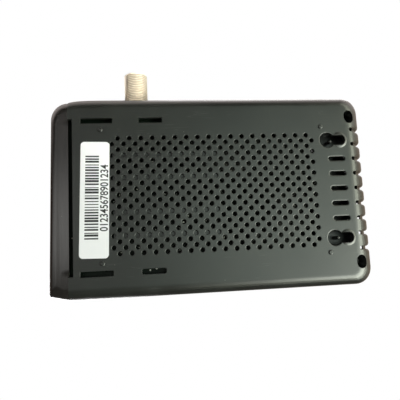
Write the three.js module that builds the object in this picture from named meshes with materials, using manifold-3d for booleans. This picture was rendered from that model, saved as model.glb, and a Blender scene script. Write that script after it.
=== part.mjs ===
// A small satellite television receiver in a charcoal plastic housing of two shells and a front fascia.
// Millimetres, +Z up. The origin is the middle of the base. The fascia faces -Y and the sockets face +X.
import * as THREE from "three";
import { mergeVertices } from "three/addons/utils/BufferGeometryUtils.js";
import Module from "manifold-3d";

// Case
const caseLength = 135;
const caseWidth = 82.6;
const caseHeight = 26;
const partingHeight = 12.5; // where the two shells meet
const wall = 1.6;
const sideRound = 5; // the long edges, top and bottom
const baseEndRound = 10; // the lower edge of the rear end
const topEndRound = 6; // the upper edge of the rear end
const cornerRound = 8; // the rear corners in plan
const cornerRoundLeast = 3; // the same corners where the flat face ends
const halfLength = caseLength / 2;
const halfWidth = caseWidth / 2;

// Clearances and the overrun of every cut
const fit = 0.3;
const threadFit = 0.2; // round a screw's shank in its pilot hole
const embed = 0.4; // how far a rib or boss sinks into the wall that carries it
const overrun = 1;

// Front fascia, a cap whose bottom wall has a convex land behind its front edge
const fasciaDepth = 7.3;
const fasciaStep = 0.15; // its sides stand this far inside the sides of the shells
const fasciaTaper = 1.3; // and draw in this much more towards the front
const fasciaRound = 3;
const fasciaCorner = 1.2; // in plan, on the plain side and over the middle of the sockets' side
const fasciaCornerMost = 8; // the sockets' corner at the base and at the top
const fasciaCornerRise = 6; // the height over which it sharpens
const landDepth = 3.1;
const landRise = 0.3;
const grooveLength = 63.6;
const grooveWidth = 1.2;
const tongueThickness = 1.2;
const tongueReach = 5; // into the shells
const tongueRoot = 3.5; // along the fascia's own side wall

// Vent grille in the base: square rows with a second set of rows half a pitch off
const ventPitch = 4.72;
const ventRadius = 1;
const ventEndMargin = 27.3; // from the ends of the case to the nearest holes' centres, at least
const ventSideMargin = 17.2;
const ventColumns = Math.floor((caseLength - 2 * ventEndMargin) / ventPitch) + 1;
const ventRows = Math.floor((caseWidth - 2 * ventSideMargin) / ventPitch) + 1;

// Slots in the base for the tools that form the snap hooks, each from and to a distance from the front
const hookSlotInset = 10.2; // from the side of the case to their middle
const hookSlotX = halfWidth - hookSlotInset;
const hookSlotWidth = 2.2;
const longHookSlot = { from: 12.5, to: 24.8 };
const shortHookSlot = { from: 36.1, to: 45.5 };

// Rear vents: oval slots in the base and tall slots in the end wall, on one pitch
const rearPitch = 6.47;
const ovalWidth = 2.2;
const ovalLength = 8.4;
const ovalInset = 9.6; // from the rear end to the ovals
const endSlotWidth = 1.6;
const endSlotFoot = 0.4; // height of its lower end
const endSlotHead = 5; // from its upper end to the top
const endSlotDepth = 7.3; // how far in from the rear its cut reaches

// Keyholes for hanging the case on two screws
const keyholeSideInset = 20.1;
const keyholeRearInset = 17.9;
const keyholeX = halfWidth - keyholeSideInset;
const keyholeY = halfLength - keyholeRearInset;
const keyholeRadius = 3.8;
const keySlotRun = 6.4; // from the round hole's centre to the slot's end centre
const keySlotWidth = 4.3;
const keyRimHeight = 0.25; // the raised rim round the slot
const keyRimRadius = 3.5;
const keyRoom = 2.2; // for the screw head above the plate
const keyRoomRadius = 4;
const keyRoof = 1.2;
const keyWall = 1.2;
const nubRadius = 0.7;
const nubHeight = 0.8;
const nubRun = 2.6; // from the round hole's centre

// Feet, four moulded pips
const pipSideInset = 14.1;
const pipRearInset = 20.5;
const pipX = halfWidth - pipSideInset;
const pipY = halfLength - pipRearInset;
const pipRadius = 1;
const pipHeight = 0.5;

// Case screws, driven up through wells at the rear corners
const screwSideInset = 9.65;
const screwRearInset = 7;
const screwX = halfWidth - screwSideInset;
const screwY = halfLength - screwRearInset;
const wellRadius = 2.7;
const wellDepth = 8;
const bossRadius = 3.6;
const caseScrew = { head: 2, headHeight: 1.8, shank: 1.2, length: 12 };

// Main board on its rails and posts, and the screws that hold it
const tunerAxisRise = 6.3; // from the board to the axis of the aerial socket
const boardThickness = 1.6;
const boardSideRoom = 3.7; // between its edge and the wall
const boardFrontInset = 5.5;
const boardRearInset = 23.5;
const boardHalfWidth = halfWidth - wall - boardSideRoom;
const boardFront = boardFrontInset - halfLength;
const boardRear = halfLength - boardRearInset;
const railWidth = 2.4;
const railPlaceShares = [-3.5, -1.5, 1.5, 3.5]; // of a vent pitch from the middle
const railRunShare = 0.42; // of the grille's length
const postRadius = 2.5;
const frontPostInset = { side: 9.5, end: 9.8 }; // from the board's edges to the posts' axes
const rearPostInset = { side: 9, end: 2.8 };
const frontPost = { x: boardHalfWidth - frontPostInset.side, y: boardFront + frontPostInset.end };
const rearPost = { x: boardHalfWidth - rearPostInset.side, y: boardRear - rearPostInset.end };
const boardScrew = { head: 2.4, headHeight: 1.6, shank: 1.1, length: 3.4 };
const boardTop = partingHeight - tunerAxisRise;
const boardUnderside = boardTop - boardThickness;

// Lap lip of the upper shell, which locates it inside the lower one
const lipThickness = 1;
const lipDrop = 1.5;
const lipRoot = 2;
const bayMargin = 4; // the lip stops this far from the sockets on their side

// Slots in the top
const topSlotWidth = 1.8;
const topSlotLength = 28;
const topSlotInset = 27.5; // from the rear end

// Tuner can and the aerial socket on it
const socketYShare = -0.2407; // of the case's length
const canLength = 22;
const canWidth = 26;
const canHeight = 12.2;
const canWall = 0.6;
const collarThickness = 2; // between the can and the wall of the case
const lidThickness = 0.6;
const lidRim = 3;
const barrelRadius = 4.75;
const barrelReach = 14.5; // beyond the case
const barrelChamfer = 0.7;
const barrelBore = 3.7;
const collarRadius = 5.6;
const insulatorRecess = 0.6;
const contactHole = 1.1;
const contactRadius = 0.8;
const contactBore = 0.45;
const contactRecess = 1;

// The other sockets, from front to rear along the same side
const socketInset = 0.3; // their mouths lie this far inside the outer face
const avJack = { yShare: -0.1022, width: 6.5, height: 6, depth: 12, nose: 2.7, bore: 1.8, boreDepth: 11 };
const videoSocket = { yShare: -0.0037, width: 15, height: 6, depth: 12, metal: 0.5, taper: 2.2, back: 1 };
const videoTongue = { width: 11, thickness: 1.4, recess: 1.5 };
const dataSocket = { yShare: 0.1252, width: 13.2, height: 6, depth: 14, metal: 0.5, back: 1 };
const dataTongue = { width: 11, thickness: 1.8, recess: 1.2 };
const dcJack = { yShare: 0.2267, width: 9, height: 10.6, depth: 10.5, nose: 4.1, bore: 2.9, boreDepth: 9 };
const dcPin = { radius: 1, recess: 2 };

// Board components, each with its centre in plan as shares of the case's width and length
const mainChip = { xShare: -0.073, yShare: -0.06, width: 17, length: 17, height: 1.8 };
const heatSink = { size: 24, plate: 1.6, fin: 1.2, fins: 6, height: 7 };
const memoryChip = { xShare: -0.33, yShare: -0.06, width: 8, length: 13, height: 1.1 };
const flashChip = { xShare: -0.31, yShare: 0.1, width: 6, length: 5, height: 1.8 };
const crystal = { xShare: -0.27, yShare: -0.21, width: 4.5, length: 11, height: 3.5 };
const inductor = { xShare: 0.18, yShares: [0.015, 0.105], width: 7, height: 4, corner: 1.6 };
const capacitor = { xShares: [-0.15, 0, 0.15], yShare: 0.237, radius: 4, height: 11, roll: 0.5, foot: 1.6 };

// Keys and the switches that they press
const keyNames = ["power_key", "channel_down_key", "channel_up_key"];
const keyPitch = 6.4;
const keyInset = 10; // from the side of the case to the last key's axis
const keyLastX = halfWidth - keyInset;
const keyFirstX = keyLastX - (keyNames.length - 1) * keyPitch;
const keyRadius = 2.3;
const keyProud = 0.5;
const keyFlange = 0.5; // wider than its hole by this on the radius
const keyFlangeDepth = 1;
const stemRadius = 1.4;
const switchSize = 6;
const switchDepth = 3.6;
const switchInset = 1.4; // from the board's front edge
const switchFront = boardFront + switchInset;
const plungerRadius = 1.7;
const plungerReach = 1.9;
const plungerHeel = 0.8; // inside the switch
const plungerBoreDepth = 1.6;

// Window, display and infrared receiver behind the fascia
const windowSideInset = 10.3;
const windowKeyRoom = 5.5; // from the first key's axis to the window
const windowRimHeight = 5; // of the fascia below and above the window
const windowSpan = {
  left: windowSideInset - halfWidth,
  right: keyFirstX - windowKeyRoom,
  bottom: windowRimHeight,
  top: caseHeight - windowRimHeight,
};
const windowFlange = 1;
const windowLap = 1.2;
const display = { inset: 2, room: 12, drop: 0.8, depth: 7 }; // from the window's left, right and top edges
const infrared = { inset: 6, width: 6, height: 7.5, depth: 4, lens: 2.2 };

// Label
const labelInset = 17.7; // from the front to its middle
const label = { x: -1.4, width: 12.1, length: 47.7, corner: 1.7, thickness: 0.15, turn: 0.014 };

// Facets
const roundSteps = 3; // levels in each edge round
const cornerSteps = 4;
const capSteps = 2; // curve divisions, two facets to each
const ventSides = 4;
const pinSides = 6;
const smallSides = 12;
const roundSides = 20;
const mergeTolerance = 1e-4;

const quarterTurn = Math.PI / 2;
const halfTurn = Math.PI;

const wasm = await Module();
wasm.setup();

// Finishes
const finish = (color, roughness, metalness) =>
  new THREE.MeshStandardMaterial({ color, roughness, metalness });
const casePlastic = finish(0x33352f, 0.5, 0);
const fasciaPlastic = finish(0x222321, 0.25, 0);
const windowPlastic = finish(0x140a0c, 0.08, 0);
const keyPlastic = finish(0x3b3c38, 0.4, 0);
const boardLaminate = finish(0x1f4a2c, 0.55, 0);
const tinPlate = finish(0xb9bbb6, 0.35, 1);
const nickel = finish(0xc2bba8, 0.3, 1);
const brass = finish(0xc9a24a, 0.3, 1);
const dielectric = finish(0xe9e6dc, 0.5, 0);
const blackPlastic = finish(0x18191a, 0.6, 0);
const aluminium = finish(0x8d9192, 0.45, 1);
const ferrite = finish(0x2a2a2c, 0.7, 0);
const screwSteel = finish(0x6d6e6e, 0.35, 1);
const paper = finish(0xf1f4f1, 0.6, 0);

// The closed solid of a geometry.
function solidOf(geometry) {
  const bare = geometry.clone();
  bare.deleteAttribute("normal");
  bare.deleteAttribute("uv");
  const merged = mergeVertices(bare, mergeTolerance);
  const vertProperties = merged.attributes.position.array;
  const triVerts = new Uint32Array(merged.index.array);
  return new wasm.Manifold(new wasm.Mesh({ numProp: 3, vertProperties, triVerts }));
}

// The geometry of a solid, flat shaded.
function geometryOf(solid) {
  const mesh = solid.getMesh();
  const geometry = new THREE.BufferGeometry();
  geometry.setAttribute("position", new THREE.BufferAttribute(mesh.vertProperties, mesh.numProp));
  geometry.setIndex(new THREE.BufferAttribute(mesh.triVerts, 1));
  const facets = geometry.toNonIndexed();
  facets.computeVertexNormals();
  return facets;
}

const joined = (solids) => solids.reduce((whole, next) => whole.add(next));
const spread = (centre, size) => [centre - size / 2, centre + size / 2];

// A box from three pairs of low and high limits.
function block([x0, x1], [y0, y1], [z0, z1]) {
  const box = new THREE.BoxGeometry(x1 - x0, y1 - y0, z1 - z0);
  return solidOf(box.translate((x0 + x1) / 2, (y0 + y1) / 2, (z0 + z1) / 2));
}

// A round bar along one axis between two limits, through a point.
function bar(axis, radius, [low, high], { x = 0, y = 0, z = 0 }, sides = smallSides) {
  const round = new THREE.CylinderGeometry(radius, radius, high - low, sides);
  const middle = (low + high) / 2;
  if (axis === "x") return solidOf(round.rotateZ(-quarterTurn).translate(middle, y, z));
  if (axis === "y") return solidOf(round.translate(x, middle, z));
  return solidOf(round.rotateX(quarterTurn).translate(x, y, middle));
}

// A flat shape in plan, raised between two heights.
function raised(shape, [low, high]) {
  const settings = { depth: high - low, bevelEnabled: false, curveSegments: capSteps };
  return solidOf(new THREE.ExtrudeGeometry(shape, settings).translate(0, 0, low));
}

// A slot in plan with half-round ends, running along Y between two end centres.
function capsule(x, [front, rear], radius) {
  const shape = new THREE.Shape();
  shape.absarc(x, rear, radius, 0, halfTurn);
  shape.absarc(x, front, radius, halfTurn, 2 * halfTurn);
  return shape;
}

// A slot of full length up to its rear limit, cut between two heights.
function ovalCut(x, rear, length, width, heights) {
  return raised(capsule(x, [rear - length + width / 2, rear - width / 2], width / 2), heights);
}

// A turned piece along X. Each profile point is a place along the axis and a radius.
function turned(profile, { y, z }, sides = roundSides) {
  const outline = profile.map(([along, radius]) => new THREE.Vector2(radius, along));
  const lathe = new THREE.LatheGeometry(outline, sides).rotateZ(-quarterTurn);
  return solidOf(lathe.translate(0, y, z));
}

// A solid skinned over rings of equal numbers of points, each ring flat at its own height.
function loft(levels) {
  const count = levels[0].ring.length;
  const positions = levels.flatMap(({ ring, height }) => ring.flatMap((p) => [p.x, p.y, height]));
  const faces = [];
  for (let level = 0; level + 1 < levels.length; level++) {
    for (let i = 0; i < count; i++) {
      const a = level * count + i;
      const b = level * count + ((i + 1) % count);
      faces.push(a, b, b + count, a, b + count, a + count);
    }
  }
  const top = (levels.length - 1) * count;
  for (const [a, b, c] of THREE.ShapeUtils.triangulateShape(levels[0].ring, [])) {
    faces.push(a, c, b);
  }
  for (const [a, b, c] of THREE.ShapeUtils.triangulateShape(levels[levels.length - 1].ring, [])) {
    faces.push(top + a, top + b, top + c);
  }
  const geometry = new THREE.BufferGeometry();
  geometry.setAttribute("position", new THREE.Float32BufferAttribute(positions, 3));
  geometry.setIndex(faces);
  return solidOf(geometry);
}

// How far a quarter round of an edge still stands back at a rise above the flat face.
function drawnIn(round, rise) {
  return rise >= round ? 0 : round - Math.sqrt(round ** 2 - (round - rise) ** 2);
}

// The rises at which quarter rounds are stepped, up to a height.
function risesOf(rounds, height) {
  const rises = new Set([0, height]);
  for (const round of rounds) {
    for (let step = 1; step <= roundSteps; step++) {
      rises.add(round * (1 - Math.cos((step / roundSteps) * quarterTurn)));
    }
  }
  return [...rises].filter((rise) => rise <= height).sort((a, b) => a - b);
}

// The outer form of a shell, drawn in everywhere by a wall where an inner form is wanted.
function shellForm(endRound, inset = 0) {
  return {
    side: halfWidth - inset,
    rear: halfLength - inset,
    sideRound: sideRound - inset,
    endRound: endRound - inset,
    corner: cornerRound - inset,
    cornerLeast: Math.max(cornerRoundLeast - inset, inset / 2),
  };
}

// One level of a shell in plan: square at the seam, rounded at the rear corners.
function shellRing(form, rise, front) {
  const side = form.side - drawnIn(form.sideRound, rise);
  const back = drawnIn(form.endRound, rise);
  const rear = form.rear - back;
  const corner = form.corner + (form.cornerLeast - form.corner) * (back / form.endRound);
  const ring = [new THREE.Vector2(-side, front), new THREE.Vector2(side, front)];
  for (const [turn, sign] of [[0, 1], [1, -1]]) {
    for (let step = 0; step <= cornerSteps; step++) {
      const angle = (turn + step / cornerSteps) * quarterTurn;
      const x = sign * (side - corner) + corner * Math.cos(angle);
      ring.push(new THREE.Vector2(x, rear - corner + corner * Math.sin(angle)));
    }
  }
  return ring;
}

// A filled tray of a form, from its flat face at a height up to another height.
function tray(form, front, [bottom, top]) {
  const rises = risesOf([form.sideRound, form.endRound], top - bottom);
  return loft(rises.map((rise) => ({ ring: shellRing(form, rise, front), height: bottom + rise })));
}

// The same tray turned over, so that its flat face is the top of the case.
function lidTray(form, front, [bottom, top]) {
  return tray(form, front, [caseHeight - top, caseHeight - bottom])
    .rotate([0, 180, 0])
    .translate([0, 0, caseHeight]);
}

const seamY = fasciaDepth - halfLength;
const lowerOuter = tray(shellForm(baseEndRound), seamY, [0, partingHeight]);
const upperOuter = lidTray(shellForm(topEndRound), seamY, [partingHeight, caseHeight]);

// Places shared by both shells: left and right copies, and the rear vents.
const bothSides = [-1, 1];
const endSlotRoom = screwX - bossRadius - endSlotWidth / 2;
const ovalRoom = keyholeX - keyRoomRadius - keyWall - ovalWidth / 2;
const endSlotCount = 2 * Math.floor(endSlotRoom / rearPitch) + 1;
const ovalCount = 2 * Math.floor(ovalRoom / rearPitch) + 1;
const centred = (count) => Array.from({ length: count }, (_, i) => i - (count - 1) / 2);

// The tall slots of the end wall, with half-round lower ends.
const endSlots = joined(centred(endSlotCount).flatMap((place) => {
  const x = place * rearPitch;
  const radius = endSlotWidth / 2;
  const through = [halfLength - endSlotDepth, halfLength + overrun];
  const heights = [endSlotFoot + radius, caseHeight - endSlotHead];
  return [
    block(spread(x, endSlotWidth), through, heights),
    bar("y", radius, through, { x, z: endSlotFoot + radius }, pinSides),
  ];
}));

// The mouths of the sockets, cut through the side walls of both shells.
const mouthSpan = [halfWidth - wall - overrun, halfWidth + overrun];
const placeY = ({ yShare }) => yShare * caseLength;
const placeX = ({ xShare }) => xShare * caseWidth;
const mouthOf = (socket) =>
  block(
    mouthSpan,
    spread(placeY(socket), socket.width + 2 * fit),
    [boardTop - fit, boardTop + socket.height + fit]);
const socketY = socketYShare * caseLength;
const aerialAxis = { y: socketY, z: partingHeight };
const avAxis = { y: placeY(avJack), z: boardTop + avJack.height / 2 };
const dcAxis = { y: placeY(dcJack), z: partingHeight };
const mouths = joined([
  bar("x", barrelRadius + fit, mouthSpan, aerialAxis, roundSides),
  bar("x", avJack.nose + fit, mouthSpan, avAxis),
  bar("x", dcJack.nose + fit, mouthSpan, dcAxis),
  mouthOf(videoSocket),
  mouthOf(dataSocket),
]);

// The 388 holes of the grille: rows of 18 with rows of 19 between them.
function grille() {
  const holes = [];
  for (let row = 0; row < 2 * ventRows - 1; row++) {
    const offset = row % 2;
    for (const place of centred(ventColumns + offset)) {
      const x = (row / 2 - (ventRows - 1) / 2) * ventPitch;
      holes.push(bar("z", ventRadius, [-overrun, wall + overrun], { x, y: place * ventPitch }, ventSides));
    }
  }
  return wasm.Manifold.union(holes);
}

// A keyhole: a round hole and a narrow slot through the plate, with room for a screw head above.
function keyholeCut(x) {
  const slotEnd = keyholeY + keySlotRun;
  const run = [keyholeY, slotEnd];
  return joined([
    bar("z", keyholeRadius, [-overrun, wall + embed], { x, y: keyholeY }, roundSides),
    raised(capsule(x, run, keySlotWidth / 2), [-overrun, wall + embed]),
    raised(capsule(x, run, keyRoomRadius), [wall, wall + keyRoom]),
  ]);
}

// The raised rim of a keyhole, the closed pocket that roofs it, and the nub that keeps the head in.
function keyholePocket(x) {
  const run = [keyholeY, keyholeY + keySlotRun];
  const rim = raised(capsule(x, run, keyRimRadius), [-keyRimHeight, embed]);
  return rim.add(
    raised(capsule(x, run, keyRoomRadius + keyWall), [wall - embed, wall + keyRoom + keyRoof]));
}
const keyholeNub = (x) =>
  bar(
    "z", nubRadius, [wall + keyRoom - nubHeight, wall + keyRoom + embed],
    { x, y: keyholeY + nubRun }, pinSides);

// The board's posts, with pilot holes for its screws.
const boardPosts = [frontPost, rearPost].flatMap(({ x, y }) =>
  bothSides.map((side) => ({ x: side * x, y })));

const labelShape = new THREE.Shape();
{
  const reach = label.width / 2 - label.corner;
  const run = label.length / 2 - label.corner;
  labelShape.absarc(reach, run, label.corner, 0, quarterTurn);
  labelShape.absarc(-reach, run, label.corner, quarterTurn, halfTurn);
  labelShape.absarc(-reach, -run, label.corner, halfTurn, halfTurn + quarterTurn);
  labelShape.absarc(reach, -run, label.corner, halfTurn + quarterTurn, 2 * halfTurn);
}

// The label's outline turned to lie across the case, grown by a margin.
function labelPlate(margin, heights) {
  const scaleX = (label.width + 2 * margin) / label.width;
  const scaleY = (label.length + 2 * margin) / label.length;
  const settings = { depth: heights[1] - heights[0], bevelEnabled: false, curveSegments: capSteps };
  const plate = new THREE.ExtrudeGeometry(labelShape, settings).scale(scaleX, scaleY, 1);
  plate.rotateZ(quarterTurn + label.turn);
  return solidOf(plate.translate(label.x, labelInset - halfLength, heights[0]));
}

function lowerShell() {
  const cavity = tray(shellForm(baseEndRound, wall), seamY - overrun, [wall, partingHeight + overrun]);
  const slots = [longHookSlot, shortHookSlot].flatMap(({ from, to }) =>
    bothSides.map((side) =>
      block(
        spread(side * hookSlotX, hookSlotWidth),
        [from - halfLength, to - halfLength],
        [-overrun, wall + overrun])));
  const ovals = centred(ovalCount).map((place) =>
    ovalCut(
      place * rearPitch, halfLength - ovalInset, ovalLength, ovalWidth, [-overrun, wall + overrun]));
  const groove = block(
    spread(0, grooveLength), [seamY - overrun, seamY + grooveWidth], [-overrun, wall + overrun]);
  const labelRecess = labelPlate(fit, [-overrun, label.thickness]);
  let shell = lowerOuter.subtract(cavity).subtract(grille()).subtract(joined(slots));
  shell = shell.subtract(joined(ovals)).subtract(groove).subtract(labelRecess).subtract(endSlots);

  const railEnd = (railRunShare * 2 - 1) * (ventColumns / 2) * ventPitch;
  const rails = railPlaceShares.map((share) =>
    block(
      spread(share * ventPitch, railWidth),
      [-(ventColumns / 2) * ventPitch, railEnd],
      [wall - embed, boardUnderside]));
  const posts = boardPosts.map((at) => bar("z", postRadius, [wall - embed, boardUnderside], at));
  const pips = bothSides.flatMap((side) =>
    bothSides.map((end) =>
      bar("z", pipRadius, [-pipHeight, embed], { x: side * pipX, y: end * pipY }, pinSides)));
  const bosses = bothSides.map((side) =>
    bar("z", bossRadius, [0, partingHeight], { x: side * screwX, y: screwY })
      .intersect(lowerOuter));
  const pockets = bothSides.map((side) => keyholePocket(side * keyholeX));
  shell = joined([shell, ...rails, ...posts, ...pips, ...bosses, ...pockets]);

  const pilots = boardPosts.map((at) =>
    bar("z", boardScrew.shank + threadFit, [boardTop - boardScrew.length - fit, boardTop], at, pinSides));
  const wells = bothSides.flatMap((side) => {
    const at = { x: side * screwX, y: screwY };
    return [
      bar("z", wellRadius, [-overrun, wellDepth], at),
      bar("z", caseScrew.shank + fit, [wellDepth - overrun, partingHeight + overrun], at, pinSides),
    ];
  });
  const keyholes = bothSides.map((side) => keyholeCut(side * keyholeX));
  shell = shell.subtract(joined([...pilots, ...wells, ...keyholes]));
  shell = shell.subtract(mouths);
  return joined([shell, ...bothSides.map((side) => keyholeNub(side * keyholeX))]);
}

// The lap lip: a ring inside the lower shell's wall, hung from the upper one.
function lapLip() {
  const outer = shellForm(baseEndRound, wall + fit);
  const inner = shellForm(baseEndRound, wall + fit + lipThickness);
  const sunk = shellForm(baseEndRound, wall - embed);
  const band = (form, heights) =>
    loft(heights.map((height) => ({ ring: shellRing(form, baseEndRound, seamY), height })));
  const hollow = (form, heights) =>
    loft(heights.map((height) => ({ ring: shellRing(form, baseEndRound, seamY - overrun), height })));
  const drop = band(outer, [partingHeight - lipDrop, partingHeight + lipRoot]);
  const root = band(sunk, [partingHeight, partingHeight + lipRoot]);
  const core = hollow(inner, [partingHeight - lipDrop - overrun, partingHeight + lipRoot + overrun]);
  const bay = block(
    [halfWidth - wall - fit - lipThickness - overrun, halfWidth - wall],
    [socketY - canLength / 2 - bayMargin, dcAxis.y + dcJack.width / 2 + bayMargin],
    [partingHeight - lipDrop - overrun, partingHeight + lipRoot + overrun]);
  return drop.add(root).subtract(core).subtract(bay);
}

function upperShell() {
  const cavity = lidTray(
    shellForm(topEndRound, wall), seamY - overrun, [partingHeight - overrun, caseHeight]);
  const room = cavity.translate([0, 0, -wall]);
  const slots = centred(endSlotCount).map((place) =>
    ovalCut(
      place * rearPitch, halfLength - topSlotInset, topSlotLength, topSlotWidth,
      [caseHeight - wall - overrun, caseHeight + overrun]));
  const posts = bothSides.map((side) =>
    bar("z", bossRadius, [partingHeight, caseHeight], { x: side * screwX, y: screwY })
      .intersect(upperOuter));
  const pilots = bothSides.map((side) =>
    bar(
      "z", caseScrew.shank + threadFit,
      [partingHeight - overrun, wellDepth + caseScrew.length],
      { x: side * screwX, y: screwY }, pinSides));
  let shell = upperOuter.subtract(room).subtract(joined(slots));
  shell = joined([shell, lapLip(), ...posts]).subtract(joined(pilots));
  return shell.subtract(endSlots).subtract(mouths);
}

// One level of the fascia in plan: square at the seam, drawn in at the front, rounder towards +X.
function fasciaRing(inset, rise, back) {
  const tuck = drawnIn(sideRound - inset, rise);
  const atSeam = halfWidth - fasciaStep - inset - tuck;
  const atFront = atSeam - fasciaTaper;
  const front = inset + drawnIn(fasciaRound - inset, rise) - halfLength;
  const sharpening = Math.min(1, rise / fasciaCornerRise);
  const rounded = fasciaCornerMost + (fasciaCorner - fasciaCornerMost) * sharpening;
  const ring = [new THREE.Vector2(atSeam, back), new THREE.Vector2(-atSeam, back)];
  for (const [turn, sign, across] of [[2, -1, fasciaCorner], [3, 1, rounded]]) {
    const along = Math.min(across, back - front - fit);
    for (let step = 0; step <= cornerSteps; step++) {
      const angle = (turn + step / cornerSteps) * quarterTurn;
      const x = sign * (atFront - across) + across * Math.cos(angle);
      ring.push(new THREE.Vector2(x, front + along + along * Math.sin(angle)));
    }
  }
  return ring;
}

// The fascia's body or its hollow: rounded along the bottom and along the top.
function fasciaBody(inset, back) {
  const height = caseHeight - 2 * inset;
  const rises = risesOf([sideRound - inset, fasciaRound - inset], height / 2);
  const falls = [...rises].reverse().slice(1).map((rise) => height - rise);
  return loft([...rises, ...falls].map((up) => ({
    ring: fasciaRing(inset, Math.min(up, height - up), back),
    height: inset + up,
  })));
}

const fasciaInner = wall - halfLength; // the back of its front wall
const keyZ = boardTop + switchSize / 2;
const keyPlaces = keyNames.map((name, i) => ({ name, x: keyFirstX + i * keyPitch }));

function frontFascia() {
  const width = windowSpan.right - windowSpan.left;
  const height = windowSpan.top - windowSpan.bottom;
  const windowX = (windowSpan.left + windowSpan.right) / 2;
  const windowZ = (windowSpan.bottom + windowSpan.top) / 2;
  const through = [-halfLength - overrun, fasciaInner + overrun];
  const opening = block(spread(windowX, width), through, spread(windowZ, height));
  const keyholes = keyPlaces.map(({ x }) =>
    bar("y", keyRadius + fit, through, { x, z: keyZ }));
  const hollow = fasciaBody(wall, seamY + overrun);
  const shell = fasciaBody(0, seamY).subtract(hollow).subtract(joined([opening, ...keyholes]));

  const sag = new THREE.Shape();
  sag.moveTo(seamY, embed);
  sag.lineTo(seamY - landDepth, embed);
  sag.lineTo(seamY - landDepth, 0);
  sag.quadraticCurveTo(seamY - landDepth / 2, -2 * landRise, seamY, 0);
  const settings = { depth: grooveLength, bevelEnabled: false, curveSegments: capSteps };
  const land = new THREE.ExtrudeGeometry(sag, settings);
  land.rotateX(quarterTurn).rotateZ(quarterTurn).translate(-grooveLength / 2, 0, 0);

  const tongueOuter = halfWidth - wall - fit;
  const tongueSpans = [
    [wall + sideRound, partingHeight - lipDrop - fit],
    [partingHeight + lipRoot + fit, caseHeight - wall - sideRound],
  ];
  const tongues = bothSides.flatMap((side) =>
    tongueSpans.map((heights) =>
      block(
        [side * tongueOuter, side * (tongueOuter - tongueThickness)].sort((a, b) => a - b),
        [seamY - tongueRoot, seamY + tongueReach],
        heights)));
  return joined([shell, solidOf(land), ...tongues]);
}

// The window fills its opening and is held by a flange behind the front wall.
function displayWindow() {
  const { left, right, bottom, top } = windowSpan;
  const pane = block(
    [left + fit, right - fit], [-halfLength, fasciaInner + windowFlange], [bottom + fit, top - fit]);
  const flange = block(
    [left - windowLap, right + windowLap],
    [fasciaInner, fasciaInner + windowFlange],
    [bottom - windowLap, top + windowLap]);
  return pane.add(flange);
}

// Keys: a round cap through the front wall, a flange behind it and a stem to the switch.
function key(x) {
  const at = { x, z: keyZ };
  const plungerTip = switchFront - plungerReach;
  return joined([
    bar("y", keyRadius, [-halfLength - keyProud, fasciaInner + keyFlangeDepth], at),
    bar("y", keyRadius + keyFlange + fit, [fasciaInner, fasciaInner + keyFlangeDepth], at),
    bar("y", stemRadius, [fasciaInner, plungerTip], at, pinSides),
  ]);
}

function switchBody(x) {
  const rear = switchFront + switchDepth;
  const body = block(spread(x, switchSize), [switchFront, rear], [boardTop, boardTop + switchSize]);
  const bore = [switchFront - overrun, switchFront + plungerBoreDepth];
  return body.subtract(bar("y", plungerRadius + fit, bore, { x, z: keyZ }));
}

const switchPlunger = (x) =>
  bar("y", plungerRadius, [switchFront - plungerReach, switchFront + plungerHeel], { x, z: keyZ });

// Board
function mainBoard() {
  const plate = block(
    spread(0, 2 * boardHalfWidth), [boardFront, boardRear], [boardUnderside, boardTop]);
  const holes = boardPosts.map((at) =>
    bar("z", boardScrew.shank + fit, [boardUnderside - overrun, boardTop + overrun], at, pinSides));
  return plate.subtract(joined(holes));
}

// Screws: a head, and a shank on its far side.
function screwAt({ x, y }, seat, { head, headHeight, shank, length }, up) {
  const at = { x, y };
  const headSpan = up > 0 ? [seat - headHeight, seat] : [seat, seat + headHeight];
  const middle = (headSpan[0] + headSpan[1]) / 2;
  const shankSpan = up > 0 ? [middle, seat + length] : [seat - length, middle];
  return bar("z", head, headSpan, at).add(bar("z", shank, shankSpan, at, pinSides));
}

// Tuner can: four walls on the board, under a lid with a rim.
const canOuter = halfWidth - wall - fit - collarThickness;
const canInnerEdge = canOuter - canWidth;
function tunerCan() {
  const heights = [boardTop, boardTop + canHeight];
  const outer = block([canInnerEdge, canOuter], spread(socketY, canLength), heights);
  const hollow = block(
    [canInnerEdge + canWall, canOuter - canWall],
    spread(socketY, canLength - 2 * canWall),
    [boardTop - overrun, boardTop + canHeight + overrun]);
  return outer.subtract(hollow);
}

function tunerLid() {
  const top = boardTop + canHeight;
  const plate = block([canInnerEdge, canOuter], spread(socketY, canLength), [top, top + lidThickness]);
  const inset = canWall + fit;
  const rim = block(
    [canInnerEdge + inset, canOuter - inset],
    spread(socketY, canLength - 2 * inset),
    [top - lidRim, top + lidThickness / 2]);
  const hollow = block(
    [canInnerEdge + inset + canWall, canOuter - inset - canWall],
    spread(socketY, canLength - 2 * inset - 2 * canWall),
    [top - lidRim - overrun, top]);
  return plate.add(rim.subtract(hollow));
}

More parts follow.
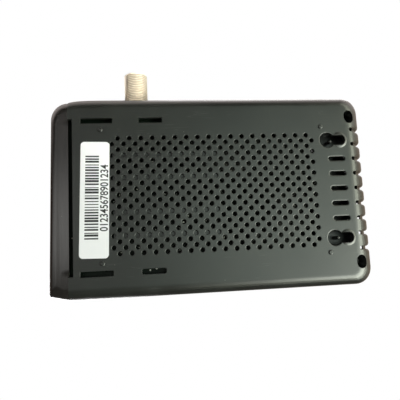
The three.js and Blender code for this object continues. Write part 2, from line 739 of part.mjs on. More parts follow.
// Aerial socket: a barrel with a collar against the can, and its insulator and contact.
const barrelTip = halfWidth + barrelReach;
const collarFace = halfWidth - wall - fit;
const socketFloor = canOuter + wall;
const aerialBarrel = () =>
  turned([
    [canOuter, 0],
    [canOuter, collarRadius],
    [collarFace, collarRadius],
    [collarFace, barrelRadius],
    [barrelTip - barrelChamfer, barrelRadius],
    [barrelTip, barrelRadius - barrelChamfer],
    [barrelTip, barrelBore],
    [socketFloor, barrelBore],
    [socketFloor, 0],
  ], aerialAxis);
const insulatorFace = barrelTip - insulatorRecess;
const aerialInsulator = () =>
  turned([
    [socketFloor, contactHole],
    [socketFloor, barrelBore - fit / 2],
    [insulatorFace, barrelBore - fit / 2],
    [insulatorFace, contactHole],
    [socketFloor, contactHole],
  ], aerialAxis);
const aerialContact = () =>
  turned([
    [socketFloor, 0],
    [socketFloor, contactRadius],
    [insulatorFace - contactRecess, contactRadius],
    [insulatorFace - contactRecess, contactBore],
    [socketFloor + overrun, contactBore],
    [socketFloor + overrun, 0],
  ], aerialAxis, smallSides);

// A sheet-metal socket: a box open towards the side, with a closed back.
function metalSocket(socket) {
  const { width, height, depth, metal, back } = socket;
  const y = placeY(socket);
  const mouth = halfWidth - socketInset;
  const outer = block([mouth - depth, mouth], spread(y, width), [boardTop, boardTop + height]);
  const hollow = block(
    [mouth - depth + back, mouth + overrun],
    spread(y, width - 2 * metal),
    [boardTop + metal, boardTop + height - metal]);
  return outer.subtract(hollow);
}

// The digital video socket narrows towards the board: a rectangle with two corners off.
function videoShell() {
  const { width, height, depth, metal, taper, back } = videoSocket;
  const y = placeY(videoSocket);
  const mouth = halfWidth - socketInset;
  const outline = (margin) => {
    const half = width / 2 - margin;
    const foot = boardTop + margin;
    const head = boardTop + height - margin;
    const shape = new THREE.Shape();
    shape.moveTo(y - half + taper, foot);
    shape.lineTo(y + half - taper, foot);
    shape.lineTo(y + half, foot + taper);
    shape.lineTo(y + half, head);
    shape.lineTo(y - half, head);
    shape.lineTo(y - half, foot + taper);
    return shape;
  };
  const prism = (margin, [low, high]) => {
    const settings = { depth: high - low, bevelEnabled: false };
    const solid = new THREE.ExtrudeGeometry(outline(margin), settings);
    return solidOf(solid.rotateX(quarterTurn).rotateZ(quarterTurn).translate(low, 0, 0));
  };
  return prism(0, [mouth - depth, mouth]).subtract(prism(metal, [mouth - depth + back, mouth + overrun]));
}

// The plate of contacts inside a metal socket, standing on its closed back.
function socketTongue(socket, { width, thickness, recess }) {
  const mouth = halfWidth - socketInset;
  const middle = boardTop + socket.height / 2;
  const reach = [mouth - socket.depth + socket.back, mouth - recess];
  return block(reach, spread(placeY(socket), width), spread(middle, thickness));
}

// A moulded jack: a block on the board, a round nose in the case wall and a round bore.
function mouldedJack({ width, height, depth, nose, bore, boreDepth }, axis) {
  const mouth = halfWidth - socketInset;
  const face = halfWidth - wall - fit;
  const body = block([mouth - depth, face], spread(axis.y, width), [boardTop, boardTop + height]);
  return body
    .add(bar("x", nose, [mouth - depth + overrun, mouth], axis))
    .subtract(bar("x", bore, [mouth - boreDepth, mouth + overrun], axis));
}
const dcCentrePin = () =>
  bar("x", dcPin.radius, [halfWidth - socketInset - dcJack.boreDepth, halfWidth - dcPin.recess], dcAxis);

// Components on the board
const onBoard = (chip) =>
  block(
    spread(placeX(chip), chip.width),
    spread(placeY(chip), chip.length),
    [boardTop, boardTop + chip.height]);

function finnedSink() {
  const foot = boardTop + mainChip.height;
  const x = placeX(mainChip);
  const across = spread(placeY(mainChip), heatSink.size);
  const plate = block(spread(x, heatSink.size), across, [foot, foot + heatSink.plate]);
  const step = (heatSink.size - heatSink.fin) / (heatSink.fins - 1);
  const fins = centred(heatSink.fins).map((place) =>
    block(spread(x + place * step, heatSink.fin), across, [foot, foot + heatSink.height]));
  return joined([plate, ...fins]);
}

function powerInductor(yShare) {
  const { width, height, corner } = inductor;
  const x = placeX(inductor);
  const y = placeY({ yShare });
  const half = width / 2;
  const shape = new THREE.Shape();
  shape.moveTo(x - half + corner, y - half);
  shape.lineTo(x + half - corner, y - half);
  shape.lineTo(x + half, y - half + corner);
  shape.lineTo(x + half, y + half - corner);
  shape.lineTo(x + half - corner, y + half);
  shape.lineTo(x - half + corner, y + half);
  shape.lineTo(x - half, y + half - corner);
  shape.lineTo(x - half, y - half + corner);
  return raised(shape, [boardTop, boardTop + height]);
}

function electrolytic(xShare) {
  const { radius, height, roll, foot } = capacitor;
  const outline = [
    [0, 0],
    [radius, 0],
    [radius, foot],
    [radius - roll, foot + roll],
    [radius, foot + 2 * roll],
    [radius, height - roll],
    [radius - roll, height],
    [0, height],
  ].map(([r, up]) => new THREE.Vector2(r, up));
  const can = new THREE.LatheGeometry(outline, smallSides);
  can.rotateX(quarterTurn);
  return solidOf(can.translate(placeX({ xShare }), placeY(capacitor), boardTop));
}

// Display, on the board's front edge behind the window, and the infrared receiver beside it.
const displayFace = fasciaInner + windowFlange + fit;
const displayModule = () =>
  block(
    [windowSpan.left + display.inset, windowSpan.right - display.room],
    [displayFace, displayFace + display.depth],
    [boardTop, windowSpan.top - display.drop]);

function infraredReceiver() {
  const { inset, width, height, depth, lens } = infrared;
  const x = windowSpan.right - inset;
  const face = displayFace + lens;
  const middle = boardTop + height / 2;
  const body = block(spread(x, width), [face, face + depth], [boardTop, boardTop + height]);
  const dome = new THREE.SphereGeometry(lens, smallSides, smallSides / 2);
  return body.add(solidOf(dome.translate(x, face, middle)));
}

// Assembly
const receiver = new THREE.Group();
receiver.name = "satellite_receiver";

function place(name, solid, material, group = receiver) {
  const mesh = new THREE.Mesh(geometryOf(solid), material);
  mesh.name = name;
  group.add(mesh);
}

place("lower_shell", lowerShell(), casePlastic);
place("upper_shell", upperShell(), casePlastic);
place("front_fascia", frontFascia(), fasciaPlastic);
place("display_window", displayWindow(), windowPlastic);
place("main_board", mainBoard(), boardLaminate);
place("tuner_can", tunerCan(), tinPlate);
place("tuner_lid", tunerLid(), tinPlate);
place("aerial_socket_barrel", aerialBarrel(), nickel);
place("aerial_socket_insulator", aerialInsulator(), dielectric);
place("aerial_socket_contact", aerialContact(), brass);
place("av_jack", mouldedJack(avJack, avAxis), blackPlastic);
place("video_socket_shell", videoShell(), tinPlate);
place("video_socket_tongue", socketTongue(videoSocket, videoTongue), blackPlastic);
place("data_socket_shell", metalSocket(dataSocket), tinPlate);
place("data_socket_tongue", socketTongue(dataSocket, dataTongue), dielectric);
place("dc_jack", mouldedJack(dcJack, dcAxis), blackPlastic);
place("dc_jack_pin", dcCentrePin(), nickel);
place("main_chip", onBoard(mainChip), blackPlastic);
place("heat_sink", finnedSink(), aluminium);
place("memory_chip", onBoard(memoryChip), blackPlastic);
place("flash_chip", onBoard(flashChip), blackPlastic);
place("crystal_can", onBoard(crystal), tinPlate);
inductor.yShares.forEach((share, i) => place("inductor_" + (i + 1), powerInductor(share), ferrite));
capacitor.xShares.forEach((share, i) => place("capacitor_" + (i + 1), electrolytic(share), aluminium));
place("display_module", displayModule(), blackPlastic);
place("infrared_receiver", infraredReceiver(), blackPlastic);
place("label", labelPlate(0, [0, label.thickness]), paper);

boardPosts.forEach((at, i) =>
  place("board_screw_" + (i + 1), screwAt(at, boardTop, boardScrew, -1), screwSteel));
bothSides.forEach((side, i) => {
  const at = { x: side * screwX, y: screwY };
  place("case_screw_" + (i + 1), screwAt(at, wellDepth, caseScrew, 1), screwSteel);
});

// Each key and the plunger that it presses move together.
for (const { name, x } of keyPlaces) {
  const moving = new THREE.Group();
  receiver.add(moving);
  place(name, key(x), keyPlastic, moving);
  place(name.replace("_key", "_plunger"), switchPlunger(x), dielectric, moving);
  place(name.replace("_key", "_switch"), switchBody(x), blackPlastic);
}

export default receiver;
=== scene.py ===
"""A small satellite receiver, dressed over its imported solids.
Sizes are in millimetres until a mesh is made."""

import math

import bpy
import numpy as np
from mathutils import Matrix, Vector


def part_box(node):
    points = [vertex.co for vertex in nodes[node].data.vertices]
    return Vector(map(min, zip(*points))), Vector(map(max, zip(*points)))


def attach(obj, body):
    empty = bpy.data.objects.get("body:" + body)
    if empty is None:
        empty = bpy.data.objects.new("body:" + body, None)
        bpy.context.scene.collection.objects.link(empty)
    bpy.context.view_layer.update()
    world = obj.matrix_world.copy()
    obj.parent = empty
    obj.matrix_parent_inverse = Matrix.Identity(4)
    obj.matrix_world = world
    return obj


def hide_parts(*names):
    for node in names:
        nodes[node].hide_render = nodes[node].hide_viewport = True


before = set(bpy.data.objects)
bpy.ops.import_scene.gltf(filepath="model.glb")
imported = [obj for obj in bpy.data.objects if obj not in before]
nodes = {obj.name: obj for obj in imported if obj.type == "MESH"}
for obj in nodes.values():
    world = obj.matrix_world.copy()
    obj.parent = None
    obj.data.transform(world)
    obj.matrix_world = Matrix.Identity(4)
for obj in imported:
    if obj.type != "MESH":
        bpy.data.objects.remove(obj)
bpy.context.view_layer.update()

# ---- Lower shell ----
# The moulded ABS tray that carries the board, with a fine spark-eroded skin. Its floor is a diamond
# grille of 388 holes, and its rear end falls away in a long round cut by nine tall slots.

millimetre = 0.001
case = {"half_width": 41.3, "half_length": 67.5, "height": 26.0, "parting": 12.5, "wall": 1.6}
rounds = {"side": 5.0, "base_end": 8.8, "top_end": 6.0, "corner": 8.0, "corner_least": 3.0}
both_sides = (-1, 1)
# The shells end at the seam with the fascia, and the sockets' side closes in as it nears the seam.
seam_y = -60.2
drawn_in = {"most": 0.95, "run": 3.2, "steps": [0, 0.8, 1.8, 3.2, 5, 8, 13]}
# A cut runs on past what it cuts, and a joined solid is sunk into the wall that it stands on.
overrun = 1.0
sunk = 0.4


def new_object(name, data):
    """An object in the scene that holds a mesh, a curve, a lamp or a camera."""
    made = bpy.data.objects.new(name, data)
    bpy.context.scene.collection.objects.link(made)
    return made


def add_piece(name, points, faces):
    """A piece at the origin from an array of points in millimetres and a list of faces."""
    mesh = bpy.data.meshes.new(name)
    mesh.from_pydata(np.asarray(points).reshape(-1, 3) * millimetre, [], faces)
    return new_object(name, mesh)


def ring_faces(bodies, levels, around):
    """Quads between each ring and the next, and a polygon over each body's first and last ring."""
    base = np.arange(bodies)[:, None, None] * levels * around
    row = np.arange(levels - 1)[None, :, None] * around
    step = np.arange(around)[None, None, :]
    here = base + row + step
    after = base + row + (step + 1) % around
    quads = np.stack([here, after, after + around, here + around], -1).reshape(-1, 4)
    first = base[:, 0] + np.arange(around)[::-1]
    last = base[:, 0] + (levels - 1) * around + np.arange(around)
    return quads.tolist() + first.tolist() + last.tolist()


def rings_to_piece(name, rings):
    """A closed skin over rings, given as an array of levels by points by three."""
    levels, around = rings.shape[:2]
    return add_piece(name, rings, ring_faces(1, levels, around))


def pillars(name, centres, half_sizes, corner, profile, around=16, axis="z", turn=0.0):
    """Bodies with rounded-rectangle sections along an axis, at centres across it. Each ring is the
    rectangle whose corner circles have the corner's radius plus the profile's growth, at the
    profile's height."""
    heights, growth = np.array(profile, float).T
    angles = (np.arange(around) + 0.5) / around * 2 * math.pi
    reach = (corner + growth)[:, None] / math.cos(math.pi / around)
    across = np.sign(np.cos(angles)) * (half_sizes[0] - corner) + reach * np.cos(angles)
    along = np.sign(np.sin(angles)) * (half_sizes[1] - corner) + reach * np.sin(angles)
    turned_across = across * math.cos(turn) - along * math.sin(turn)
    turned_along = across * math.sin(turn) + along * math.cos(turn)
    up = np.broadcast_to(heights[:, None], across.shape)
    section = np.stack([turned_across, turned_along, up], -1)
    places = np.array(centres, float).reshape(-1, 2)
    points = np.c_[places, np.zeros(len(places))][:, None, None, :] + section[None]
    points = np.roll(points, {"z": 0, "x": 1, "y": 2}[axis], -1)
    return add_piece(name, points, ring_faces(len(places), len(heights), around))


def round_pillars(name, centres, radius, profile, around=16, axis="z"):
    """Round bodies along an axis: a radius plus the profile's growth at each height."""
    return pillars(name, centres, (radius, radius), radius, profile, around, axis)


def straight(low, high):
    """The profile of a body that keeps its size from one height to another."""
    return [(low, 0), (high, 0)]


def settled(piece):
    """The piece with its modifiers worked into its mesh."""
    bpy.context.view_layer.update()
    evaluated = piece.evaluated_get(bpy.context.evaluated_depsgraph_get())
    shaped = bpy.data.meshes.new_from_object(evaluated)
    piece.modifiers.clear()
    piece.data = shaped
    return piece


def cut_and_join(piece, cuts=(), joins=(), within=()):
    """The piece kept within bounding solids, with others joined to it and then others cut away."""
    for operation, tools in (("INTERSECT", within), ("UNION", joins), ("DIFFERENCE", cuts)):
        for tool in tools:
            step = piece.modifiers.new(tool.name, "BOOLEAN")
            step.operation, step.solver, step.object = operation, "MANIFOLD", tool
    settled(piece)
    for tool in (*within, *joins, *cuts):
        bpy.data.objects.remove(tool)
    return piece


def smooth(piece, angle=32):
    """Smooth shading with creases over an angle in degrees, and normals weighted by face areas."""
    piece.data.shade_smooth()
    piece.data.set_sharp_from_angle(angle=math.radians(angle))
    piece.modifiers.new("weighted normals", "WEIGHTED_NORMAL").keep_sharp = True
    return piece


def stands_back(radius, rise):
    """How far a quarter round stands back at a rise above the flat: r - sqrt(r2 - (r - rise)2)."""
    inside = np.maximum(radius**2 - (radius - rise) ** 2, 0)
    return np.where(rise >= radius, 0, radius - np.sqrt(inside))


def rises_of(radii, height, steps=10):
    """The heights at which quarter rounds are stepped, evenly by angle, up to the full height."""
    share = 1 - np.cos(np.linspace(0, math.pi / 2, steps + 1))
    rises = np.unique(np.concatenate([radius * share for radius in radii] + [[height]]).round(5))
    return rises[rises <= height]


def tray_rings(inset, rises, end_round, front, flipped=False, corner_steps=10):
    """The plan outlines of a shell at rises over its flat face: straight at the seam, drawn in by
    the quarter rounds of the sides and of the rear end, and with rear corners whose radius shrinks
    with the end round. One side also closes in towards the seam: by the most that it does, times
    exp(-distance from the seam / run)."""
    side = case["half_width"] - inset - stands_back(rounds["side"] - inset, rises)
    back = stands_back(end_round - inset, rises)
    rear = case["half_length"] - inset - back
    least = max(rounds["corner_least"] - inset, inset / 2)
    corner = rounds["corner"] - inset
    corner = corner + (least - corner) * back / (end_round - inset)
    turns = np.linspace(0, math.pi / 2, corner_steps + 1)
    angles = np.r_[turns, math.pi / 2 + turns]
    sides = np.repeat([1, -1], corner_steps + 1)
    x = sides * (side - corner)[:, None] + corner[:, None] * np.cos(angles)
    y = (rear - corner)[:, None] + corner[:, None] * np.sin(angles)
    along = front + np.array(drawn_in["steps"])
    pull = drawn_in["most"] * np.exp((seam_y - along) / drawn_in["run"])
    x = np.hstack([-side[:, None], side[:, None] - pull, x])
    level_along = np.broadcast_to(along, (len(rises), len(along)))
    y = np.hstack([np.full((len(rises), 1), front), level_along, y])
    return (-x[:, ::-1], y[:, ::-1]) if flipped else (x, y)


def tray(name, end_round, rise, inset=0, past=0, flipped=False):
    """A filled tray from its flat face up to an open level. The room in one is inset from its skin,
    and runs past the seam and past the open level."""
    rises = rises_of([rounds["side"] - inset, end_round - inset], rise + past - inset)
    x, y = tray_rings(inset, rises, end_round, seam_y - past, flipped)
    z = np.broadcast_to(inset + rises[:, None], x.shape)
    return rings_to_piece(name, np.stack([x, y, z], -1))


def row_of(count, pitch):
    """Evenly spaced places about zero."""
    return (np.arange(count) - (count - 1) / 2) * pitch


def mirrored(x, y):
    """A place on each side of the case's middle plane."""
    return [(side * x, y) for side in both_sides]


vent = {"pitch": 4.72, "radius": 0.92, "columns": 18, "rows": 11}


def grille_places():
    """Square rows of vents, and a second set half a pitch off with a row less and a column more."""
    places = []
    for extra in (0, 1):
        across = row_of(vent["rows"] - extra, vent["pitch"])
        along = row_of(vent["columns"] + extra, vent["pitch"])
        places.append(np.stack(np.meshgrid(across, along, indexing="ij"), -1).reshape(-1, 2))
    return np.vstack(places)


def mouth(depth, flare, bevel=0.0, steps=4):
    """The profile of a cut from below the base: a bevel that rises by 0.36 of its width, then a
    quarter round of the flare's radius."""
    rises = flare * (1 - np.cos(np.linspace(0, math.pi / 2, steps + 1)))
    outer = [(-overrun, flare + bevel), (0, flare + bevel)] if bevel else [(-overrun, flare)]
    return [*outer, *zip(0.36 * bevel + rises, stands_back(flare, rises)), (depth, 0)]


def bevelled(skin, bevel):
    """The profile of a cut from inside a wall out through its skin, with a bevelled edge."""
    inside, outside = skin - case["wall"] - overrun, skin + overrun
    return [(inside, 0), (skin - bevel, 0), (skin, bevel), (outside, bevel)]


rear_pitch = 6.47
rear_row = row_of(9, rear_pitch)
tall_slot = {"width": 1.2, "foot": 5.6, "head": 21.0, "inner": 60.2, "foot_hole_y": 61.05}
lobe = {"lip": 1.4, "proud": 0.4, "slack": 0.02, "grown_by": 0.3, "least": 0.02}


def lobe_cutters(name, radius, z_foot, z_head, path_steps=18, lip_steps=5):
    """Wedges that round the ribs between the tall slots. The path runs along the rear end's quarter
    round and up its wall. At depth d under the skin the wedge is as wide as the slot plus
    r - sqrt(r2 - (r - d)2), and both grow from nothing over the first part of the path."""
    foot_angle = math.acos(1 - z_foot / radius)
    bend = np.linspace(foot_angle, math.pi / 2, path_steps)
    growth_angle = min(lobe["grown_by"], math.pi / 2 - foot_angle)
    grown = np.r_[np.clip((bend - foot_angle) / growth_angle, lobe["least"], 1), 1][:, None]
    y = case["half_length"] - radius + radius * np.sin(bend)
    z = radius - radius * np.cos(bend)
    y, z = np.r_[y, y[-1]], np.r_[z, z_head]
    out_y, out_z = np.r_[np.sin(bend), 1], np.r_[-np.cos(bend), 0]
    share = 1 - np.cos(np.linspace(0, math.pi / 2, lip_steps))
    depth = np.r_[-lobe["proud"], lobe["lip"] * share]
    half = tall_slot["width"] / 2 + stands_back(lobe["lip"], np.maximum(depth, 0)) - lobe["slack"]
    half[0] = half[1]
    across = np.r_[-half, half[::-1]] * np.sqrt(grown)
    below = np.r_[depth, depth[::-1]] * grown
    below[:, [0, -1]] = -lobe["proud"]
    shape = (len(rear_row), len(y), across.shape[1])
    x = np.broadcast_to(rear_row[:, None, None] + across, shape)
    run_y = np.broadcast_to(y[:, None] - out_y[:, None] * below, shape)
    run_z = np.broadcast_to(z[:, None] - out_z[:, None] * below, shape)
    return add_piece(name, np.stack([x, run_y, run_z], -1), ring_faces(*shape))


def tall_slots(name):
    """The nine slots of the end wall, with half-round ends, cut along Y."""
    middle = (tall_slot["foot"] + tall_slot["head"]) / 2
    half = (tall_slot["head"] - tall_slot["foot"]) / 2
    width = tall_slot["width"] / 2
    through = straight(tall_slot["inner"], case["half_length"] + overrun)
    return pillars(name, [(middle, x) for x in rear_row], (half, width), width, through, axis="y")


# Each mouth in the side wall has its place across X, half sizes, corner and points around.
socket_axis = (-32.4945, 12.5)
side_mouths = {
    "aerial": (socket_axis, (5.05, 5.05), 5.05, 40),
    "sound": ((-13.797, 9.2), (3, 3), 3, 28),
    "power": ((30.6045, 12.5), (4.4, 4.4), 4.4, 32),
    "picture": ((-0.4995, 9.2), (7.8, 3.3), 0.4, 16),
    "data": ((16.902, 9.2), (6.9, 3.3), 0.4, 16),
}


def socket_mouths(name):
    """Round and square mouths as solids that cross the side wall along X."""
    profile = bevelled(case["half_width"], 0.2)
    return [pillars(f"{name} {kind}", [place], halves, corner, profile, around, "x")
            for kind, (place, halves, corner, around) in side_mouths.items()]


screw_place = {"x": 31.65, "y": 60.5}
well_depth = 8.0


def screw_bosses(name, low, high, hull):
    """The two rear bosses for the case screws, kept within a shell's skin."""
    bosses = round_pillars(name, mirrored(**screw_place), 3.6, straight(low, high), 32)
    return cut_and_join(bosses, within=[hull])


board = {"under": 4.6, "top": 6.2}
board_posts = [(side * x, y) for side in both_sides for x, y in ((26.5, -52.2), (27, 41.2))]
board_rails = [(x * vent["pitch"], -20.05) for x in (-3.5, -1.5, 1.5, 3.5)]
feet_places = [(x * 27.2, y * 47) for x in both_sides for y in both_sides]
foot_profile = [(-0.5, -0.45), (-0.46, -0.25), (-0.34, -0.1), (-0.15, 0), (0.4, 0)]
keyhole = {"x": 21.2, "y": 49.6, "run": 5.9, "roof": 7.6, "room": 7.0}
keyhole_slots = mirrored(keyhole["x"], keyhole["y"] + keyhole["run"] / 2)
rim_profile = [(-0.3, -0.9), (-0.28, -0.75), (-0.2, -0.5), (-0.1, -0.24), (-0.03, -0.06), (0, 0),
               (0.4, 0)]
nub_profile = [(2.4, -0.7), (2.42, -0.45), (2.55, -0.2), (2.8, 0), (7.2, 0)]
# Each hook slot has its place, its length and its corner. The groove lies along the seam.
hook_slots = ((31.1, -48.55, 12.9, 0.15), (-31.1, -49.2, 12.9, 0.15),
              (31.1, -26.5, 9.8, 0.15), (-31.1, -26.8, 9.8, 0.8))
groove_half = 31.8
label_place = {"x": -1.4, "y": -49.7, "turn": math.pi / 2 + 0.0255, "depth": 0.15}
label_centre = (label_place["x"], label_place["y"])


def base_joins():
    """What stands on the floor or under it: rails, posts, feet, pockets, rims and bosses."""
    root = case["wall"] - sunk
    hull = tray("hull", rounds["base_end"], case["parting"])
    return [
        pillars("rails", board_rails, (1.2, 22.4), 0.2, straight(root, board["under"])),
        round_pillars("posts", board_posts, 2.5, straight(root, board["under"]), 24),
        round_pillars("feet", feet_places, 1, foot_profile, 24),
        pillars("pockets", keyhole_slots, (5.2, 8.4), 5.2, straight(root, keyhole["roof"]), 32),
        round_pillars("rims", mirrored(keyhole["x"], keyhole["y"] + 5.6), 3.5, rim_profile, 64),
        screw_bosses("bosses", 0, case["parting"], hull),
    ]


def base_openings():
    """The cuts in the base beside its grille, its tall slots and the mouths of its side."""
    through = case["wall"] + overrun
    neck = [(-overrun, 0.2), (-0.25, 0.2), (-0.05, 0), (2, 0)]
    return [
        *[pillars("hook slots", [(x, y)], (1.1, length / 2), corner, mouth(through, 0.1))
          for x, y, length, corner in hook_slots],
        pillars("ovals", [(x, 53.3) for x in row_of(5, rear_pitch)], (0.95, 3.7), 0.95,
                mouth(through, 0.15, 0.42), 24),
        pillars("groove", [(0, seam_y)], (groove_half, 1.8), 0.1, mouth(through, 0.25)),
        pillars("label bed", [label_centre], (6, 23.85), 1.6,
                straight(-overrun, label_place["depth"]), 32, turn=label_place["turn"]),
        round_pillars("pilots", board_posts, 1.3, straight(2.5, board["top"]), 12),
        pillars("wells", mirrored(**screw_place), (2.85, 2.35), 2.35,
                straight(-overrun, well_depth), 40),
        round_pillars("shank holes", mirrored(**screw_place), 1.5, straight(7, 13.5)),
        round_pillars("heads", mirrored(keyhole["x"], keyhole["y"]), 3.35, mouth(2, 0.12, 0.3), 56),
        pillars("necks", keyhole_slots, (2.15, 5.1), 2.15, neck, 40),
        pillars("rooms", keyhole_slots, (4, 7.2), 4, straight(case["wall"], keyhole["room"]), 32),
    ]


def lower_shell():
    """The tray, hollowed; the posts, rails, pockets and feet joined; every opening cut."""
    wall, parting, end_round = case["wall"], case["parting"], rounds["base_end"]
    shell = tray("lower_shell_skin", end_round, parting)
    cavity = tray("cavity", end_round, parting, wall, overrun)
    grille = round_pillars("grille", grille_places(), vent["radius"],
                           mouth(wall + overrun, 0.12, 0.24))
    foot_holes = [(x, tall_slot["foot_hole_y"]) for x in rear_row]
    slot_feet = pillars("slot feet", foot_holes, (0.85, 1), 0.8, straight(-overrun, 4))
    lobes = lobe_cutters("lobes", end_round, 0.3, 14)
    cut_and_join(shell, [cavity, grille, slot_feet, tall_slots("tall slots"), lobes])
    cut_and_join(shell, joins=base_joins())
    cut_and_join(shell, [*base_openings(), *socket_mouths("lower")])
    nubs = round_pillars("nubs", mirrored(keyhole["x"], keyhole["y"] + 2.6), 0.8, nub_profile, 20)
    return cut_and_join(shell, joins=[nubs])


def feed(tree, node, **inputs):
    """A node's inputs set to values or linked from other nodes' outputs: i3 means its input of that
    number, and Base_Color its input of that name."""
    for key, value in inputs.items():
        socket = node.inputs[int(key[1:]) if key[1:].isdigit() else key.replace("_", " ")]
        if isinstance(value, bpy.types.NodeSocket):
            tree.links.new(value, socket)
        else:
            socket.default_value = value
    return node


def new_node(tree, kind, settings=None, **inputs):
    """A node with its settings and its inputs."""
    made = tree.nodes.new(kind)
    for key, value in (settings or {}).items():
        setattr(made, key, value)
    return feed(tree, made, **inputs)


def maths(tree, operation, first, second=0.0, clamp=False):
    """One arithmetic step."""
    settings = {"operation": operation, "use_clamp": clamp}
    return new_node(tree, "ShaderNodeMath", settings, i0=first, i1=second).outputs[0]


def times(tree, first, second):
    """One value multiplied by another."""
    return maths(tree, "MULTIPLY", first, second)


def rescaled(tree, value, low, high, to_low=0.0, to_high=1.0):
    """A value mapped from one range to another and held inside it."""
    return new_node(tree, "ShaderNodeMapRange", Value=value, From_Min=low, From_Max=high,
                    To_Min=to_low, To_Max=to_high).outputs[0]


def tinted(tree, share, dark, light):
    """A colour between two by a share. Each is red, green and blue, or another node's colour."""
    dark, light = ((*tone, 1) if isinstance(tone, tuple) else tone for tone in (dark, light))
    made = new_node(tree, "ShaderNodeMix", {"data_type": "RGBA"}, i0=share, i6=dark, i7=light)
    return made.outputs[2]


def own_place(tree):
    """The place on the piece, in metres."""
    return tree.nodes.new("ShaderNodeTexCoord").outputs["Object"]


def scale_of(tree, size):
    """The texture scale whose features have a size in millimetres: 1000 / size."""
    return maths(tree, "DIVIDE", 1000.0, size)


def noise(tree, place, scale, detail, roughness=0.5):
    """A smooth noise by place."""
    return new_node(tree, "ShaderNodeTexNoise", Vector=place, Scale=scale, Detail=detail,
                    Roughness=roughness).outputs["Fac"]


def scattered(tree, place, scale, randomness=1.0):
    """The distance to the nearest of many scattered points, as a part of their spacing."""
    return new_node(tree, "ShaderNodeTexVoronoi", Vector=place, Scale=scale,
                    Randomness=randomness).outputs["Distance"]


def drawn_out(tree, place, scale, rotation=(0, 0, 0)):
    """A place turned and scaled, so that a pattern read there is drawn out."""
    return new_node(tree, "ShaderNodeMapping", Vector=place, Rotation=rotation,
                    Scale=scale).outputs[0]


def effect(name, inputs, outputs):
    """An empty shader node group with named inputs and outputs, what it is given, and its end."""
    tree = bpy.data.node_groups.new(name, "ShaderNodeTree")
    for label, value in inputs.items():
        socket = tree.interface.new_socket(label, in_out="INPUT", socket_type="NodeSocketFloat")
        socket.default_value = value
    for label in outputs:
        tree.interface.new_socket(label, in_out="OUTPUT", socket_type="NodeSocketFloat")
    return tree, tree.nodes.new("NodeGroupInput").outputs, tree.nodes.new("NodeGroupOutput")


def moulded_texture():
    """Spark-eroded mould texture: fine peaks, and slow patches where the gloss changes."""
    tree, given, end = effect("moulded texture", {"Grain Size": 0.35, "Patch Size": 14.0},
                              ["Height", "Patches"])
    place, grain_scale = own_place(tree), scale_of(tree, given["Grain Size"])
    grain = noise(tree, place, grain_scale, 2.0, 0.6)
    pits = scattered(tree, place, grain_scale)
    patches = noise(tree, place, scale_of(tree, given["Patch Size"]), 4.0)
    feed(tree, end, Height=maths(tree, "ADD", grain, times(tree, pits, 0.4)),
         Patches=rescaled(tree, patches, 0.3, 0.7))
    return tree


def settled_dust():
    """Sparse specks from cell distances, and soft smudges from the high parts of a slow noise."""
    tree, given, end = effect(
        "settled dust", {"Speck Spacing": 5.0, "Speck Share": 0.03, "Smudge Size": 20.0},
        ["Specks", "Smudges"])
    place = own_place(tree)
    specks = scattered(tree, place, scale_of(tree, given["Speck Spacing"]))
    smudges = noise(tree, place, scale_of(tree, given["Smudge Size"]), 3.0)
    feed(tree, end, Specks=maths(tree, "LESS_THAN", specks, given["Speck Share"]),
         Smudges=rescaled(tree, smudges, 0.52, 0.75))
    return tree


def fine_scratches():
    """Hairlines from handling: thin crests of a stretched, turned noise, broken up by another."""
    tree, given, end = effect("fine scratches", {"Spacing": 3.0, "Width": 0.03, "Turn": 0.4},
                              ["Lines"])
    place = own_place(tree)
    angle = new_node(tree, "ShaderNodeCombineXYZ", Z=given["Turn"]).outputs[0]
    turned_place = drawn_out(tree, place, (1.0, 0.06, 1.0), angle)
    lines = noise(tree, turned_place, scale_of(tree, given["Spacing"]), 3.0)
    crest = maths(tree, "ABSOLUTE", maths(tree, "SUBTRACT", lines, 0.5))
    thin = maths(tree, "LESS_THAN", crest, times(tree, given["Width"], 0.1))
    patch = rescaled(tree, noise(tree, place, 90.0, 1.0), 0.5, 0.6)
    feed(tree, end, Lines=times(tree, thin, patch))
    return tree


texture_group = moulded_texture()
dust_group = settled_dust()
scratch_group = fine_scratches()


def placed(tree, group, **inputs):
    """The outputs of a node group that is placed in a material with its own values."""
    return new_node(tree, "ShaderNodeGroup", {"node_tree": group}, **inputs).outputs


def new_material(name):
    """A material with a Principled shader and its output, with its tree and its shader."""
    material = bpy.data.materials.new(name)
    material.use_nodes = True
    tree = material.node_tree
    return material, tree, tree.nodes["Principled BSDF"]


def set_bump(tree, shader, height, depth):
    """A height in units that Bump scales by a depth in millimetres."""
    bump = new_node(tree, "ShaderNodeBump", Height=height, Distance=depth * millimetre)
    feed(tree, shader, Normal=bump.outputs[0])


dust_grey = (0.28, 0.27, 0.24)
hairline_grey = (0.2, 0.2, 0.19)


def moulded_plastic(name, dark, light, rough, grain, depth, specular=0.35, scratch=0.0):
    """A coloured plastic with mould texture, patches of gloss, dust and a few hairlines."""
    material, tree, shader = new_material(name)
    texture = placed(tree, texture_group, Grain_Size=grain, Patch_Size=16.0)
    dust = placed(tree, dust_group, Speck_Spacing=6.0, Speck_Share=0.022, Smudge_Size=26.0)
    hairlines = placed(tree, scratch_group, Spacing=4.0, Width=0.05, Turn=0.5)
    colour = tinted(tree, texture["Patches"], dark, light)
    colour = tinted(tree, times(tree, dust["Specks"], 0.6), colour, dust_grey)
    colour = tinted(tree, times(tree, hairlines["Lines"], scratch), colour, hairline_grey)
    gloss = rescaled(tree, texture["Patches"], 0, 1, *rough)
    gloss = maths(tree, "ADD", gloss, times(tree, dust["Smudges"], 0.06))
    feed(tree, shader, Base_Color=colour, Roughness=gloss, Specular_IOR_Level=specular)
    set_bump(tree, shader, texture["Height"], depth)
    return material


